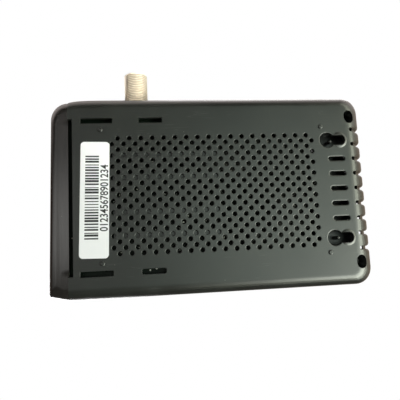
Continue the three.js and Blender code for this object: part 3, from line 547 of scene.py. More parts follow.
case_plastic = moulded_plastic("case plastic", (0.009, 0.01, 0.009), (0.0115, 0.013, 0.0115),
                               (0.33, 0.38), 0.3, 0.012, specular=0.65, scratch=0.06)


def clothe(piece, material):
    """The piece in one material, with its shape kept."""
    piece.data.materials.clear()
    piece.data.materials.append(material)


def dress(piece, material, body="housing", instead_of=()):
    """The piece's material, its body and the nodes it stands for."""
    clothe(piece, material)
    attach(piece, body)
    if instead_of:
        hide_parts(*instead_of)


dress(smooth(lower_shell()), case_plastic, instead_of=["lower_shell"])

# ---- Main board and what is soldered to it ----
# A four-layer laminate under green solder resist, with printed traces and tinned pads. It lies on
# the lower shell's rails and posts, and its parts are soldered to the upper face.


def printed_traces():
    """Fine parallel traces that turn a quarter from block to block, and pads in loose rows."""
    tree, given, end = effect("printed traces", {"Trace Pitch": 0.6, "Block Size": 9.0},
                              ["Traces", "Pads"])
    place = own_place(tree)
    split = new_node(tree, "ShaderNodeSeparateXYZ", Vector=place).outputs
    pitch = maths(tree, "DIVIDE", 1000.0 * 2 * math.pi, given["Trace Pitch"])
    rows, columns = (maths(tree, "SINE", times(tree, split[axis], pitch)) for axis in "XY")
    blocks = new_node(tree, "ShaderNodeTexVoronoi", {"distance": "CHEBYCHEV"}, Vector=place,
                      Scale=scale_of(tree, given["Block Size"]))
    pick = new_node(tree, "ShaderNodeSeparateColor", Color=blocks.outputs["Color"]).outputs
    way, shown, soldered = (maths(tree, "GREATER_THAN", pick[part], least)
                            for part, least in enumerate((0.5, 0.35, 0.55)))
    wave = new_node(tree, "ShaderNodeMix", i0=way, i2=rows, i3=columns).outputs[0]
    dots = scattered(tree, place, 420.0, 0.35)
    feed(tree, end, Traces=times(tree, maths(tree, "GREATER_THAN", wave, 0.35), shown),
         Pads=times(tree, maths(tree, "LESS_THAN", dots, 0.2), soldered))
    return tree


# Each ground pour has its share of grey, then its sides in X and in Y.
ground_pours = [(0.08, -27, 27, -44, 44), (0.7, 5.5, 22.5, -6, 14), (0.3, 5.5, 24, 14, 43),
                (1, -25, -17.5, 14, 37), (1, -17.5, -1, 25, 41)]


def between(tree, axis, low, high):
    """One between two places on an axis in millimetres, nothing outside, with edges 1 mm soft."""
    place = new_node(tree, "ShaderNodeSeparateXYZ", Vector=own_place(tree)).outputs[axis]
    place = maths(tree, "DIVIDE", place, millimetre)
    return times(tree, rescaled(tree, place, low, low + 1),
                 rescaled(tree, place, high - 1, high, 1, 0))


def solder_resist():
    """Green resist, lighter over the traces and grey over the ground pours, with tinned pads."""
    material, tree, shader = new_material("solder resist")
    printed = placed(tree, printed_traces(), Trace_Pitch=0.7, Block_Size=8.0)
    traces, pads = printed["Traces"], printed["Pads"]
    colour = tinted(tree, traces, (0.002, 0.006, 0.003), (0.004, 0.011, 0.005))
    for share, west, east, south, north in ground_pours:
        inside = times(tree, between(tree, "X", west, east), between(tree, "Y", south, north))
        colour = tinted(tree, times(tree, inside, share), colour, (0.2, 0.21, 0.19))
    colour = tinted(tree, pads, colour, (0.55, 0.53, 0.48))
    feed(tree, shader, Base_Color=colour, Metallic=pads, Specular_IOR_Level=0.2,
         Roughness=rescaled(tree, traces, 0, 1, 0.42, 0.34))
    set_bump(tree, shader, maths(tree, "ADD", traces, pads), 0.03)
    return material


clothe(nodes["main_board"], solder_resist())


def dress_copy(node, new_name, width, material, segments=2):
    """In a CAD node's place, its copy with facets merged and edges broken by a small bevel."""
    piece = new_object(new_name, nodes[node].data.copy())
    piece.modifiers.new("merge", "WELD").merge_threshold = 1e-6
    settled(piece)
    bevel = piece.modifiers.new("broken edges", "BEVEL")
    bevel.width, bevel.segments = width * millimetre, segments
    bevel.limit_method, bevel.angle_limit = "ANGLE", math.radians(35)
    bevel.use_clamp_overlap = True
    dress(smooth(piece), material, instead_of=[node])


package_black = moulded_plastic("package black", (0.012, 0.012, 0.012), (0.02, 0.02, 0.021),
                                (0.42, 0.55), 0.12, 0.004)
for chip in ("main_chip", "memory_chip", "flash_chip"):
    dress_copy(chip, chip + "_package", 0.12, package_black)


def brushed_metal(name, dark, light, rough, across=(1.0, 0.05, 1.0)):
    """Rolled or turned metal: hairlines drawn out one way, and slow patches of tarnish."""
    material, tree, shader = new_material(name)
    lines = noise(tree, drawn_out(tree, own_place(tree), across), 4500.0, 3.0)
    texture = placed(tree, texture_group, Grain_Size=0.5, Patch_Size=6.0)
    tarnish = times(tree, texture["Patches"], 0.25)
    tarnish = maths(tree, "ADD", tarnish, times(tree, lines, 0.3), True)
    feed(tree, shader, Base_Color=tinted(tree, tarnish, light, dark), Metallic=1.0,
         Roughness=rescaled(tree, lines, 0.3, 0.7, *rough))
    set_bump(tree, shader, lines, 0.003)
    return material


sink_aluminium = brushed_metal("sink aluminium", (0.28, 0.29, 0.3), (0.42, 0.43, 0.44), (0.35, 0.5))
tin_plate = brushed_metal("tin plate", (0.42, 0.42, 0.4), (0.66, 0.66, 0.63), (0.22, 0.38),
                          (0.08, 1.0, 1.0))
dress_copy("heat_sink", "heat_sink_fins", 0.15, sink_aluminium)
dress_copy("crystal_can", "crystal_case", 1.2, tin_plate, 4)
ferrite_black = moulded_plastic("ferrite", (0.022, 0.021, 0.021), (0.04, 0.038, 0.037), (0.6, 0.75),
                                0.25, 0.02)
for number in (1, 2):
    dress_copy(f"inductor_{number}", f"inductor_body_{number}", 0.35, ferrite_black, 3)


def capacitor_can(name, x, y, radius=4, height=11, neck_height=1.6):
    """A drawn can with a rolled neck: a radius for each height, turned about Z."""
    foot, top = board["top"], board["top"] + height
    bend = np.linspace(0, math.pi, 7)
    neck = np.c_[foot + neck_height + 0.5 * (1 - np.cos(bend)), -0.45 * np.sin(bend)]
    bend = np.linspace(0, math.pi / 2, 6)
    shoulder = np.c_[top - 0.6 + 0.6 * np.sin(bend), -0.6 * (1 - np.cos(bend))]
    profile = [(foot, -0.1), (foot + 0.1, 0), *neck, *shoulder, (top, -1.0), (top - 0.12, -1.15)]
    return round_pillars(name, [(x, y)], radius, profile, 40)


for number in (1, 2, 3):
    low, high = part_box(f"capacitor_{number}")
    centre = (low + high) / 2 / millimetre
    can = capacitor_can(f"capacitor_can_{number}", centre.x, centre.y)
    dress(smooth(can, 40), sink_aluminium, instead_of=[f"capacitor_{number}"])

# ---- Upper shell ----
# The plain lid of the same ABS, with nine long slots over the board's warm parts. Its lip drops
# inside the lower shell's wall, and two screws from below pull it down on its bosses.

fit = 0.3
lip = {"drop": 1.5, "rise": 2.0, "wall": 1.0}


def turned_over(piece):
    """Half a turn about Y through the middle of the case: x becomes -x, and z height - z."""
    height = case["height"] * millimetre
    piece.data.transform(Matrix(((-1, 0, 0, 0), (0, 1, 0, 0), (0, 0, -1, height), (0, 0, 0, 1))))
    return piece


def lid_tray(name, inset=0, past=0):
    """A tray with the lid's rounds, turned over."""
    rise = case["height"] - case["parting"]
    return turned_over(tray(name, rounds["top_end"], rise, inset, past, flipped=True))


def lip_band(name, inset, low, high, front=seam_y):
    """A filled band whose outline is the shell's at full height, drawn in by an inset."""
    levels = np.array([rounds["base_end"]] * 2)
    x, y = tray_rings(inset, levels, rounds["base_end"], front)
    z = np.broadcast_to(np.array([[low], [high]]), x.shape)
    return rings_to_piece(name, np.stack([x, y, z], -1))


def upper_shell():
    """The lid hollowed, with its lip and bosses joined and its slots and mouths cut."""
    wall, parting, height = case["wall"], case["parting"], case["height"]
    lid = cut_and_join(lid_tray("upper_shell_skin"), [lid_tray("room", wall, overrun)])
    low, high = parting - lip["drop"], parting + lip["rise"]
    drop = lip_band("drop", wall + fit, low, high)
    root = lip_band("root", wall - sunk, parting, high)
    past_both = (low - overrun, high + overrun)
    core = lip_band("core", wall + fit + lip["wall"], *past_both, seam_y - overrun)
    bay = pillars("bay", [(38.55, -4.2)], (1.15, 43.3), 0.1, straight(*past_both))
    cut_and_join(drop, [core, bay], [root])
    bosses = screw_bosses("lid bosses", parting, height, lid_tray("lid hull"))
    cut_and_join(lid, joins=[drop, bosses])
    slots = pillars("top slots", [(x, 26) for x in rear_row], (0.9, 14), 0.9,
                    bevelled(height, 0.22), 24)
    pilots = round_pillars("lid pilots", mirrored(**screw_place), 1.4,
                           straight(parting - overrun, 20))
    lobes = turned_over(lobe_cutters("lid lobes", rounds["top_end"], 5.2, 14.5))
    return cut_and_join(lid, [slots, pilots, lobes, tall_slots("lid tall slots"),
                              *socket_mouths("upper")])


dress(smooth(upper_shell()), case_plastic, instead_of=["upper_shell"])

# ---- Front fascia ----
# A gloss ABS cap that snaps over the fronts of both shells with four tongues. Its base has a
# shallow convex land behind the front edge, and its corners sharpen from the base up.

fascia = {"step": 0.15, "taper": 1.15, "taper_run": 1.8, "round": 3.0, "corner": 0.8, "soft": 6.2,
          "softest": 8.0, "corner_rise": 6.0, "slant": 0.01, "depth": 7.3}
fascia_inner = -65.9
land = {"near": seam_y + 0.4, "far": seam_y - 3.2, "sag": 0.3, "fade": 0.03}
window = {"z": 13.0, "x": -9.0, "half_height": 8.0, "half_width": 22.0, "corner": 0.5}
key_places = {"power": 18.5, "channel_down": 24.9, "channel_up": 31.3}
key_height = 9.2


def fascia_form(name, inset, back, steps=12):
    """The cap's outline at each height, straight at the seam. The front draws back by the round's
    quarter circle and leans by a slant times x. The corner towards +X is an ellipse that shrinks
    with the height."""
    height = case["height"] - 2 * inset
    rises = rises_of([rounds["side"] - inset, fascia["round"] - inset], height / 2)
    up = np.r_[rises, height - rises[::-1][1:]]
    rise = np.minimum(up, height - up)[:, None]
    seam = case["half_width"] - fascia["step"] - inset - stands_back(rounds["side"] - inset, rise)
    front = inset + stands_back(fascia["round"] - inset, rise) - case["half_length"]
    sharpening = np.minimum(1, rise / fascia["corner_rise"])
    rounded = fascia["softest"] + (fascia["soft"] - fascia["softest"]) * sharpening
    turns = np.linspace(0, math.pi / 2, steps + 1)
    angles = np.r_[math.pi + turns, 1.5 * math.pi + turns]
    sides = np.repeat([-1, 1], steps + 1)
    across = np.where(sides > 0, rounded, fascia["corner"])
    along = np.minimum(across, seam_y - front - fit)
    close = np.where(sides > 0, drawn_in["most"] + fascia["step"], fascia["taper"])
    x = sides * (seam - close - across) + across * np.cos(angles)
    y = front + along + along * np.sin(angles)
    ends = np.broadcast_to(back, seam.shape)
    x = np.hstack([seam - drawn_in["most"], -seam, -seam, x])
    y = np.hstack([ends, ends, np.broadcast_to(seam_y - fascia["taper_run"], seam.shape), y])
    y = y + fascia["slant"] * x * np.clip((seam_y - y) / fascia["depth"], 0, 1)
    z = np.broadcast_to(inset + up[:, None], x.shape)
    return rings_to_piece(name, np.stack([x, y, z], -1))


def fascia_land():
    """The land: a closed bar along X whose underside rises evenly from the groove to the front,
    fading out at its ends by the square root of the distance from them."""
    share = np.linspace(0, 1, 17)
    along = np.linspace(-1, 1, 41)[:, None]
    fade = np.clip((1 - np.abs(along)) / land["fade"], 0, 1) ** 0.5
    sag = -land["sag"] * (1 - share) * fade
    y = np.broadcast_to(land["near"] + (land["far"] - land["near"]) * share, sag.shape)
    x = np.broadcast_to(groove_half * along, sag.shape)
    top = (len(along), 2)
    x = np.hstack([x, x[:, :2]])
    y = np.hstack([y, np.broadcast_to([land["far"], land["near"]], top)])
    z = np.hstack([sag, np.full(top, sunk)])
    return rings_to_piece("fascia land", np.stack([x, y, z], -1)[:, ::-1])


def fascia_tongue(z, half):
    """A pair of tongues that reach back into the shells, laid from Z into Y."""
    profile = [(seam_y - 3.5, 0), (seam_y + 4.6, 0), (seam_y + 5, -0.1)]
    tongues = pillars("tongues", mirrored(38.8, z), (0.6, half), 0.1, profile)
    tongues.data.transform(Matrix(((1, 0, 0, 0), (0, 0, 1, 0), (0, 1, 0, 0), (0, 0, 0, 1))))
    tongues.data.flip_normals()
    return tongues


def window_pillar(name, gap, profile):
    """The window's rectangle along Y, smaller by a gap all round."""
    halves = (window["half_height"] - gap, window["half_width"] - gap)
    return pillars(name, [(window["z"], window["x"])], halves, window["corner"], profile, 24, "y")


def front_fascia():
    """The cap hollowed, with its land and tongues, its window opening and its key holes."""
    cap = fascia_form("fascia_skin", 0, seam_y)
    cut_and_join(cap, [fascia_form("fascia hollow", case["wall"], seam_y + overrun)])
    cut_and_join(cap, joins=[fascia_land(), fascia_tongue(8.65, 2.05), fascia_tongue(17.1, 2.3)])
    through = [(-68.5, 0.3), (-67.5, 0.3), (-67.2, 0), (fascia_inner + overrun, 0)]
    opening = window_pillar("opening", 0, through)
    key_centres = [(key_height, x) for x in key_places.values()]
    holes = round_pillars("key holes", key_centres, 2.6, through, 40, "y")
    return cut_and_join(cap, [opening, holes])


def gloss_plastic():
    """Polished ABS rubbed along X: streaks drawn out in X change the gloss and the height."""
    material, tree, shader = new_material("fascia gloss plastic")
    drawn = drawn_out(tree, own_place(tree), (0.07, 1.0, 1.0))
    streak = noise(tree, drawn, 900.0, 4.0, 0.65)
    texture = placed(tree, texture_group, Grain_Size=0.8, Patch_Size=9.0)
    dust = placed(tree, dust_group, Speck_Spacing=5.0, Speck_Share=0.02, Smudge_Size=18.0)
    colour = tinted(tree, texture["Patches"], (0.015, 0.0135, 0.013), (0.02, 0.0175, 0.017))
    colour = tinted(tree, times(tree, dust["Specks"], 0.5), colour, (0.3, 0.28, 0.26))
    gloss = rescaled(tree, streak, 0.35, 0.65, 0.12, 0.2)
    gloss = maths(tree, "ADD", gloss, times(tree, dust["Smudges"], 0.05))
    feed(tree, shader, Base_Color=colour, Roughness=gloss, Specular_IOR_Level=0.65)
    set_bump(tree, shader, streak, 0.03)
    return material


dress(smooth(front_fascia()), gloss_plastic(), instead_of=["front_fascia"])

# ---- Display window, display and infrared receiver ----
# A smoked acrylic pane fills the fascia's opening and is held by a flange behind it. The display
# stands on the board's front edge, and the infrared receiver beside it looks through the same pane.


def smoked_acrylic():
    """Deep red-black acrylic under a clear gloss, with faint wipe marks."""
    material, tree, shader = new_material("smoked acrylic")
    patches = placed(tree, texture_group, Grain_Size=3.0, Patch_Size=12.0)["Patches"]
    colour = tinted(tree, patches, (0.008, 0.002, 0.003), (0.014, 0.004, 0.005))
    feed(tree, shader, Base_Color=colour, Roughness=rescaled(tree, patches, 0, 1, 0.05, 0.1),
         Coat_Weight=0.6, Coat_Roughness=0.03)
    return material


pane_profile = [(-67.5, -0.25), (-67.42, -0.1), (-67.25, 0), (fascia_inner, 0),
                (fascia_inner, 1.5), (fascia_inner + 1, 1.5)]
pane = window_pillar("window_pane", fit, pane_profile)
dress(smooth(pane, 50), smoked_acrylic(), instead_of=["display_window"])


def display_face():
    """A black block whose face shows four unlit digits: bars laid out by steps of X and Z."""
    material, tree, shader = new_material("display glass")
    split = new_node(tree, "ShaderNodeSeparateXYZ", Vector=own_place(tree)).outputs
    across, up = (times(tree, split[axis], 1000.0) for axis in "XZ")
    column = maths(tree, "PINGPONG", across, 3.4)
    row = maths(tree, "PINGPONG", maths(tree, "SUBTRACT", up, 8.0), 4.0)
    offset = maths(tree, "ABSOLUTE", maths(tree, "SUBTRACT", column, 2.2))
    upright = maths(tree, "LESS_THAN", offset, 0.35)
    bars = maths(tree, "MAXIMUM", upright, maths(tree, "LESS_THAN", row, 0.35))
    feed(tree, shader, Base_Color=tinted(tree, bars, (0.01, 0.01, 0.012), (0.05, 0.045, 0.045)),
         Roughness=rescaled(tree, bars, 0, 1, 0.2, 0.45))
    return material


dress_copy("display_module", "display_block", 0.3, display_face())
dress_copy("infrared_receiver", "infrared_eye", 0.15, package_black)

# ---- Keys ----
# Three moulded push keys for power and channels, each a round cap with a stem that bears on a tact
# switch's plunger. They slide through the fascia and the switch's spring returns them.

key_plastic = moulded_plastic("key plastic", (0.04, 0.041, 0.038), (0.05, 0.051, 0.048),
                              (0.34, 0.44), 0.3, 0.006)
switch_black = moulded_plastic("switch plastic", (0.015, 0.015, 0.016), (0.022, 0.022, 0.023),
                               (0.5, 0.6), 0.2, 0.01)
plunger_white = moulded_plastic("plunger plastic", (0.5, 0.49, 0.45), (0.58, 0.57, 0.53),
                                (0.4, 0.5), 0.3, 0.006)
# Each mark has its points around, half size, corner and turn: a dot, and two arrowheads.
key_marks = {"power": (24, 0.5, 0.5, 0.0), "channel_down": (3, 0.8, 0.4, math.pi / 3),
             "channel_up": (3, 0.8, 0.4, 0.0)}


def key_cap(name, x):
    """A domed cap, its flange and its stem, turned about Y: one radius at each depth."""
    dome = np.linspace(0, math.pi / 2, 6)
    crown = np.c_[-67.75 - 0.25 * np.cos(dome), -0.35 * (1 - np.sin(dome))]
    flange, behind = fascia_inner, fascia_inner + 1
    profile = [(-67.94, -1.9), *crown, (flange, 0), (flange, 0.8), (behind, 0.8), (behind, -0.9),
               (-62.5, -0.9)]
    return round_pillars(name, [(key_height, x)], 2.3, profile, 40, "y")


for body, x in key_places.items():
    around, half, corner, turn = key_marks[body]
    mark = pillars("mark " + body, [(key_height, x)], (half, half), corner,
                   [(-68.6, 0.04), (-67.9, 0)], around, "y", turn)
    cap = cut_and_join(key_cap(body + "_cap", x), [mark])
    dress(smooth(cap, 40), key_plastic, body + "_button", [body + "_key"])
    dress_copy(body + "_switch", body + "_switch_case", 0.15, switch_black)
    clothe(nodes[body + "_plunger"], plunger_white)

# ---- Label ----
# A plain paper label in a shallow bed of the base, turned by less than two degrees as hand-laid
# labels are. It carries only generic bars and plain digits in black.

paper_turn = label_place["turn"] - math.pi / 2
label_spot = (label_place["x"] * millimetre, label_place["y"] * millimetre)


def label_paper():
    """White paper with printed bars: one to a cell, as wide a part of it as the cell's hash."""
    material, tree, shader = new_material("label paper")
    local = new_node(tree, "ShaderNodeMapping", {"vector_type": "TEXTURE"}, Vector=own_place(tree),
                     Location=(*label_spot, 0), Rotation=(0, 0, paper_turn),
                     Scale=(millimetre,) * 3)
    split = new_node(tree, "ShaderNodeSeparateXYZ", Vector=local.outputs[0]).outputs
    cell = times(tree, split["X"], 0.87)
    stripe = new_node(tree, "ShaderNodeTexWhiteNoise", {"noise_dimensions": "1D"},
                      W=maths(tree, "FLOOR", cell)).outputs["Value"]
    width = rescaled(tree, stripe, 0, 1, 0.28, 0.82)
    ink = maths(tree, "LESS_THAN", maths(tree, "FRACT", cell), width)
    for axis, low, high in (("X", -16.2, 17.8), ("Y", -3.8, 1.6)):
        ink = times(tree, ink, maths(tree, "GREATER_THAN", split[axis], low))
        ink = times(tree, ink, maths(tree, "LESS_THAN", split[axis], high))
    fibre = placed(tree, texture_group, Grain_Size=0.25, Patch_Size=5.0)
    paper = tinted(tree, fibre["Patches"], (0.93, 0.93, 0.95), (0.96, 0.95, 0.97))
    feed(tree, shader, Base_Color=tinted(tree, ink, paper, (0.02, 0.02, 0.022)),
         Roughness=rescaled(tree, fibre["Height"], 0, 1, 0.5, 0.62))
    set_bump(tree, shader, fibre["Height"], 0.003)
    return material


sheet_profile = [(0.0, -0.03), (0.02, 0), (label_place["depth"], 0)]
label_sheet = pillars("label_sheet", [label_centre], (5.78, 23.6), 1.5, sheet_profile, 40,
                      turn=label_place["turn"])
dress(smooth(label_sheet, 60), label_paper(), instead_of=["label"])


def printed_digits(name, text, size, x, y):
    """Digits flat on the label's outer face, read from below: a mesh before it is placed."""
    curve = bpy.data.curves.new(name, "FONT")
    curve.body, curve.size, curve.extrude = text, size * millimetre, 0.004 * millimetre
    curve.offset = 0.07 * millimetre
    curve.align_x = curve.align_y = "CENTER"
    written = new_object(name, curve)
    bpy.context.view_layer.update()
    evaluated = written.evaluated_get(bpy.context.evaluated_depsgraph_get())
    mesh = bpy.data.meshes.new_from_object(evaluated)
    bpy.data.objects.remove(written)
    spot = Matrix.Translation((*label_spot, -0.01 * millimetre))
    shift = Matrix.Translation((x * millimetre, y * millimetre, 0))
    lay = Matrix.Rotation(paper_turn, 4, "Z") @ shift
    narrow = Matrix.Diagonal((-0.84, -1, 1, 1))
    mesh.transform(spot @ lay @ Matrix.Rotation(math.pi, 4, "Y") @ narrow)
    return new_object(name, mesh)


def printer_ink():
    """Black thermal print, a little uneven."""
    material, tree, shader = new_material("printer ink")
    texture = placed(tree, texture_group, Grain_Size=0.15, Patch_Size=2.0)
    colour = tinted(tree, texture["Patches"], (0.018, 0.018, 0.02), (0.04, 0.04, 0.042))
    feed(tree, shader, Base_Color=colour,
         Roughness=rescaled(tree, texture["Height"], 0, 1, 0.5, 0.7))
    return material


digits = printed_digits("label_digits", "012345678901234", 4.3, 0.6, 3.95)
dress(digits, printer_ink())

# ---- Aerial socket ----
# A die-cast, nickel-plated barrel with a 32-turns-to-the-inch thread, pressed into the tuner can. A
# white insulator inside holds the split contact that grips the cable's core.

barrel = {"root": 39.0, "tip": 55.8, "radius": 5.1, "pitch": 0.79375, "depth": 0.42}


def threaded_barrel(around=72):
    """A skin by angle and place along X. The thread's radius is the barrel's minus its depth times
    a rounded triangle wave of the phase x / pitch - angle / full turn, fading at the chamfer and
    the collar. The rim and the bore follow."""
    root, tip = barrel["root"], barrel["tip"]
    angles = np.arange(around) / around * 2 * math.pi
    x = np.linspace(39.65, tip - 0.55, 190)[:, None]
    phase = (x / barrel["pitch"] - angles / (2 * math.pi)) % 1
    wave = np.clip((np.abs(2 * phase - 1) - 0.1) / 0.8, 0, 1)
    fade = np.clip((x - 39.9) / 0.8, 0, 1) * np.clip((tip - 0.5 - x) / 0.5, 0, 1)
    radius = barrel["radius"] - barrel["depth"] * wave * fade
    start = [(37.4, 5.45), (37.55, 5.6), (39.25, 5.6), (39.4, 5.45), (39.4, 4.75), (39.6, 4.75)]
    end = [(tip - 0.5, 4.75), (tip - 0.12, 4.25), (tip, 4.1), (tip, 3.95), (tip - 0.12, 3.78),
           (tip - 0.3, 3.7), (root, 3.7)]
    collar, rim = (np.repeat(np.array(part)[:, :, None], around, -1) for part in (start, end))
    places = np.vstack([collar[:, 0], np.broadcast_to(x, radius.shape), rim[:, 0]])
    radii = np.vstack([collar[:, 1], radius, rim[:, 1]])
    y, z = socket_axis[0] + radii * np.cos(angles), socket_axis[1] + radii * np.sin(angles)
    piece = rings_to_piece("threaded_barrel", np.stack([places, y, z], -1))
    valley = np.zeros(radii.shape, np.float32)
    valley[len(start):len(start) + len(x)] = wave * fade
    piece.data.attributes.new("valley", "FLOAT", "POINT").data.foreach_set("value", valley.ravel())
    return piece


def plated_thread():
    """Pale gold plate with painted shade in the thread's valleys, where the valley attribute
    darkens and dulls.
    """
    material, tree, shader = new_material("nickel plate")
    valley = new_node(tree, "ShaderNodeAttribute", {"attribute_name": "valley"}).outputs["Fac"]
    texture = placed(tree, texture_group, Grain_Size=0.4, Patch_Size=5.0)
    # Painted shade: the thread's valleys are darkened towards brown, and made duller.
    valley_shade = times(tree, valley, rescaled(tree, texture["Patches"], 0, 1, 0.75, 1.0))
    plate = tinted(tree, texture["Patches"], (0.97, 0.89, 0.74), (1, 0.94, 0.82))
    feed(tree, shader, Base_Color=tinted(tree, valley_shade, plate, (0.36, 0.25, 0.17)), Metallic=0.2,
         Specular_Tint=(0.6, 0.5, 0.42, 1), Roughness=rescaled(tree, valley_shade, 0, 1, 0.3, 0.55))
    set_bump(tree, shader, texture["Height"], 0.006)
    return material


dress(smooth(threaded_barrel(), 50), plated_thread(),
      instead_of=["aerial_socket_barrel"])
white_insulator = moulded_plastic("white dielectric", (0.78, 0.77, 0.72), (0.84, 0.83, 0.78),
                                  (0.4, 0.5), 0.3, 0.004)
insulator_profile = [(barrel["root"], 0), (55.0, 0), (55.2, -0.2), (55.2, -2.1), (54.9, -2.35),
                     (54.6, -2.45)]
insulator = round_pillars("socket_insulator", [socket_axis], 3.55, insulator_profile, 48, "x")
bore = round_pillars("insulator bore", [socket_axis], 1.1, straight(38.0, 56.2), 32, "x")
dress(smooth(cut_and_join(insulator, [bore]), 40), white_insulator,
      instead_of=["aerial_socket_insulator"])
contact_brass = brushed_metal("contact brass", (0.5, 0.33, 0.1), (0.83, 0.62, 0.28), (0.2, 0.32),
                              (0.05, 1.0, 1.0))
contact_profile = [(barrel["root"], 0), (53.6, 0), (54.2, -0.12), (54.2, -0.3), (53.9, -0.35),
                   (40.0, -0.35)]
contact = round_pillars("split_contact", [socket_axis], 0.8, contact_profile, 28, "x")
split = pillars("contact split", [socket_axis], (1.2, 0.09), 0.05, straight(48, 55), 16, "x")
dress(smooth(cut_and_join(contact, [split]), 40), contact_brass,
      instead_of=["aerial_socket_contact"])
for part in ("tuner_can", "tuner_lid"):
    dress_copy(part, part + "_sheet", 0.12, tin_plate)

# ---- The other sockets of the side ----
# A sound jack, a digital picture socket, a data socket and a power jack, each soldered to the board
# with its mouth just inside the case's side wall.

dress_copy("av_jack", "sound_jack", 0.12, switch_black)
dress_copy("dc_jack", "power_jack", 0.15, switch_black)
dress_copy("dc_jack_pin", "power_jack_pin", 0.3, contact_brass, 4)
for kind in ("video", "data"):
    dress_copy(f"{kind}_socket_shell", f"{kind}_socket_sheet", 0.12, tin_plate)
    dress_copy(f"{kind}_socket_tongue", f"{kind}_socket_blade", 0.15, switch_black)

# ---- Screws ----
# Zinc-plated steel pan heads with cross recesses: four hold the board to its posts, and two come up
# through the rear wells to hold the shells together.

screw_steel = brushed_metal("screw steel", (0.22, 0.22, 0.22), (0.5, 0.5, 0.49), (0.25, 0.4),
                            (1.0, 1.0, 1.0))


def pan_screw(name, centre, head=2.0, head_height=1.8, shank=1.2, length=12.0):
    """A pan head with an elliptical edge, a shank, and a cross recess sunk into the head."""
    bend = np.linspace(0, math.pi / 2, 7)
    rim = np.c_[-head_height * np.sin(bend), -0.7 * (1 - np.cos(bend))][::-1]
    narrower = shank - head
    profile = [*rim, (0, 0), (0, narrower), (length - 0.3, narrower), (length, narrower - 0.25)]
    screw = round_pillars(name, [centre], head, np.array(profile) + (well_depth, 0), 32)
    top = well_depth - head_height
    blades = [pillars(f"blade {turn}", [centre], (head * 0.6, head * 0.14), 0.05,
                      straight(top - 0.5, top + head_height * 0.7), 8, turn=turn)
              for turn in (0.5, 0.5 + math.pi / 2)]
    return cut_and_join(screw, blades)


for number, place in enumerate(mirrored(**screw_place), 1):
    screw = pan_screw(f"case_screw_steel_{number}", place)
    dress(smooth(screw, 40), screw_steel, instead_of=[f"case_screw_{number}"])
for number in range(1, 5):
    clothe(nodes[f"board_screw_{number}"], screw_steel)

# ---- The floor, the lamps and the camera ----
# The part stands base down on a pale floor, which only the camera sees and only from above, so the
# lamps below light the base. The camera looks up at the base from the photograph's place.


def stage_tree(piece, name):
    """The empty node tree of a stage piece's own material."""
    material = bpy.data.materials.new(name)
    material.use_nodes = True
    material.node_tree.nodes.clear()
    piece.data.materials.append(material)
    return material.node_tree


def choose(tree, share, one, other, end):
    """One shader where a share is nothing and another where it is one, at the tree's end."""
    mixed = new_node(tree, "ShaderNodeMixShader", i0=share, i1=one.outputs[0], i2=other.outputs[0])
    new_node(tree, end, Surface=mixed.outputs[0])


def show_only(tree, share, shader):
    """A shader for the rays that a share picks, and a clear way for the others."""
    clear = tree.nodes.new("ShaderNodeBsdfTransparent")
    choose(tree, share, clear, shader, "ShaderNodeOutputMaterial")


def studio_floor(radius=620, around=96):
    """A pale disc under the feet. Rays other than the camera's own from above pass through it."""
    angles = np.arange(around) / around * 2 * math.pi
    rim = np.stack([radius * np.cos(angles), radius * np.sin(angles), np.full(around, -0.52)], -1)
    tree = stage_tree(add_piece("studio_floor", rim, [list(range(around))]), "studio paper")
    matte = new_node(tree, "ShaderNodeBsdfDiffuse", Color=(0.82, 0.82, 0.81, 1))
    ray = tree.nodes.new("ShaderNodeLightPath").outputs["Is Camera Ray"]
    behind = tree.nodes.new("ShaderNodeNewGeometry").outputs["Backfacing"]
    seen = times(tree, ray, maths(tree, "SUBTRACT", 1.0, behind))
    show_only(tree, seen, matte)


def softbox(name, place, size, power, colour=(1, 1, 1), aim=(0, 0, 0)):
    """A rectangular lamp turned to face a point, in metres and watts."""
    lamp = bpy.data.lights.new(name, "AREA")
    lamp.shape, lamp.size, lamp.size_y, lamp.energy, lamp.color = "RECTANGLE", *size, power, colour
    holder = new_object(name, lamp)
    holder.location = place
    holder.rotation_euler = (Vector(aim) - Vector(place)).to_track_quat("-Z", "Y").to_euler()
    return holder


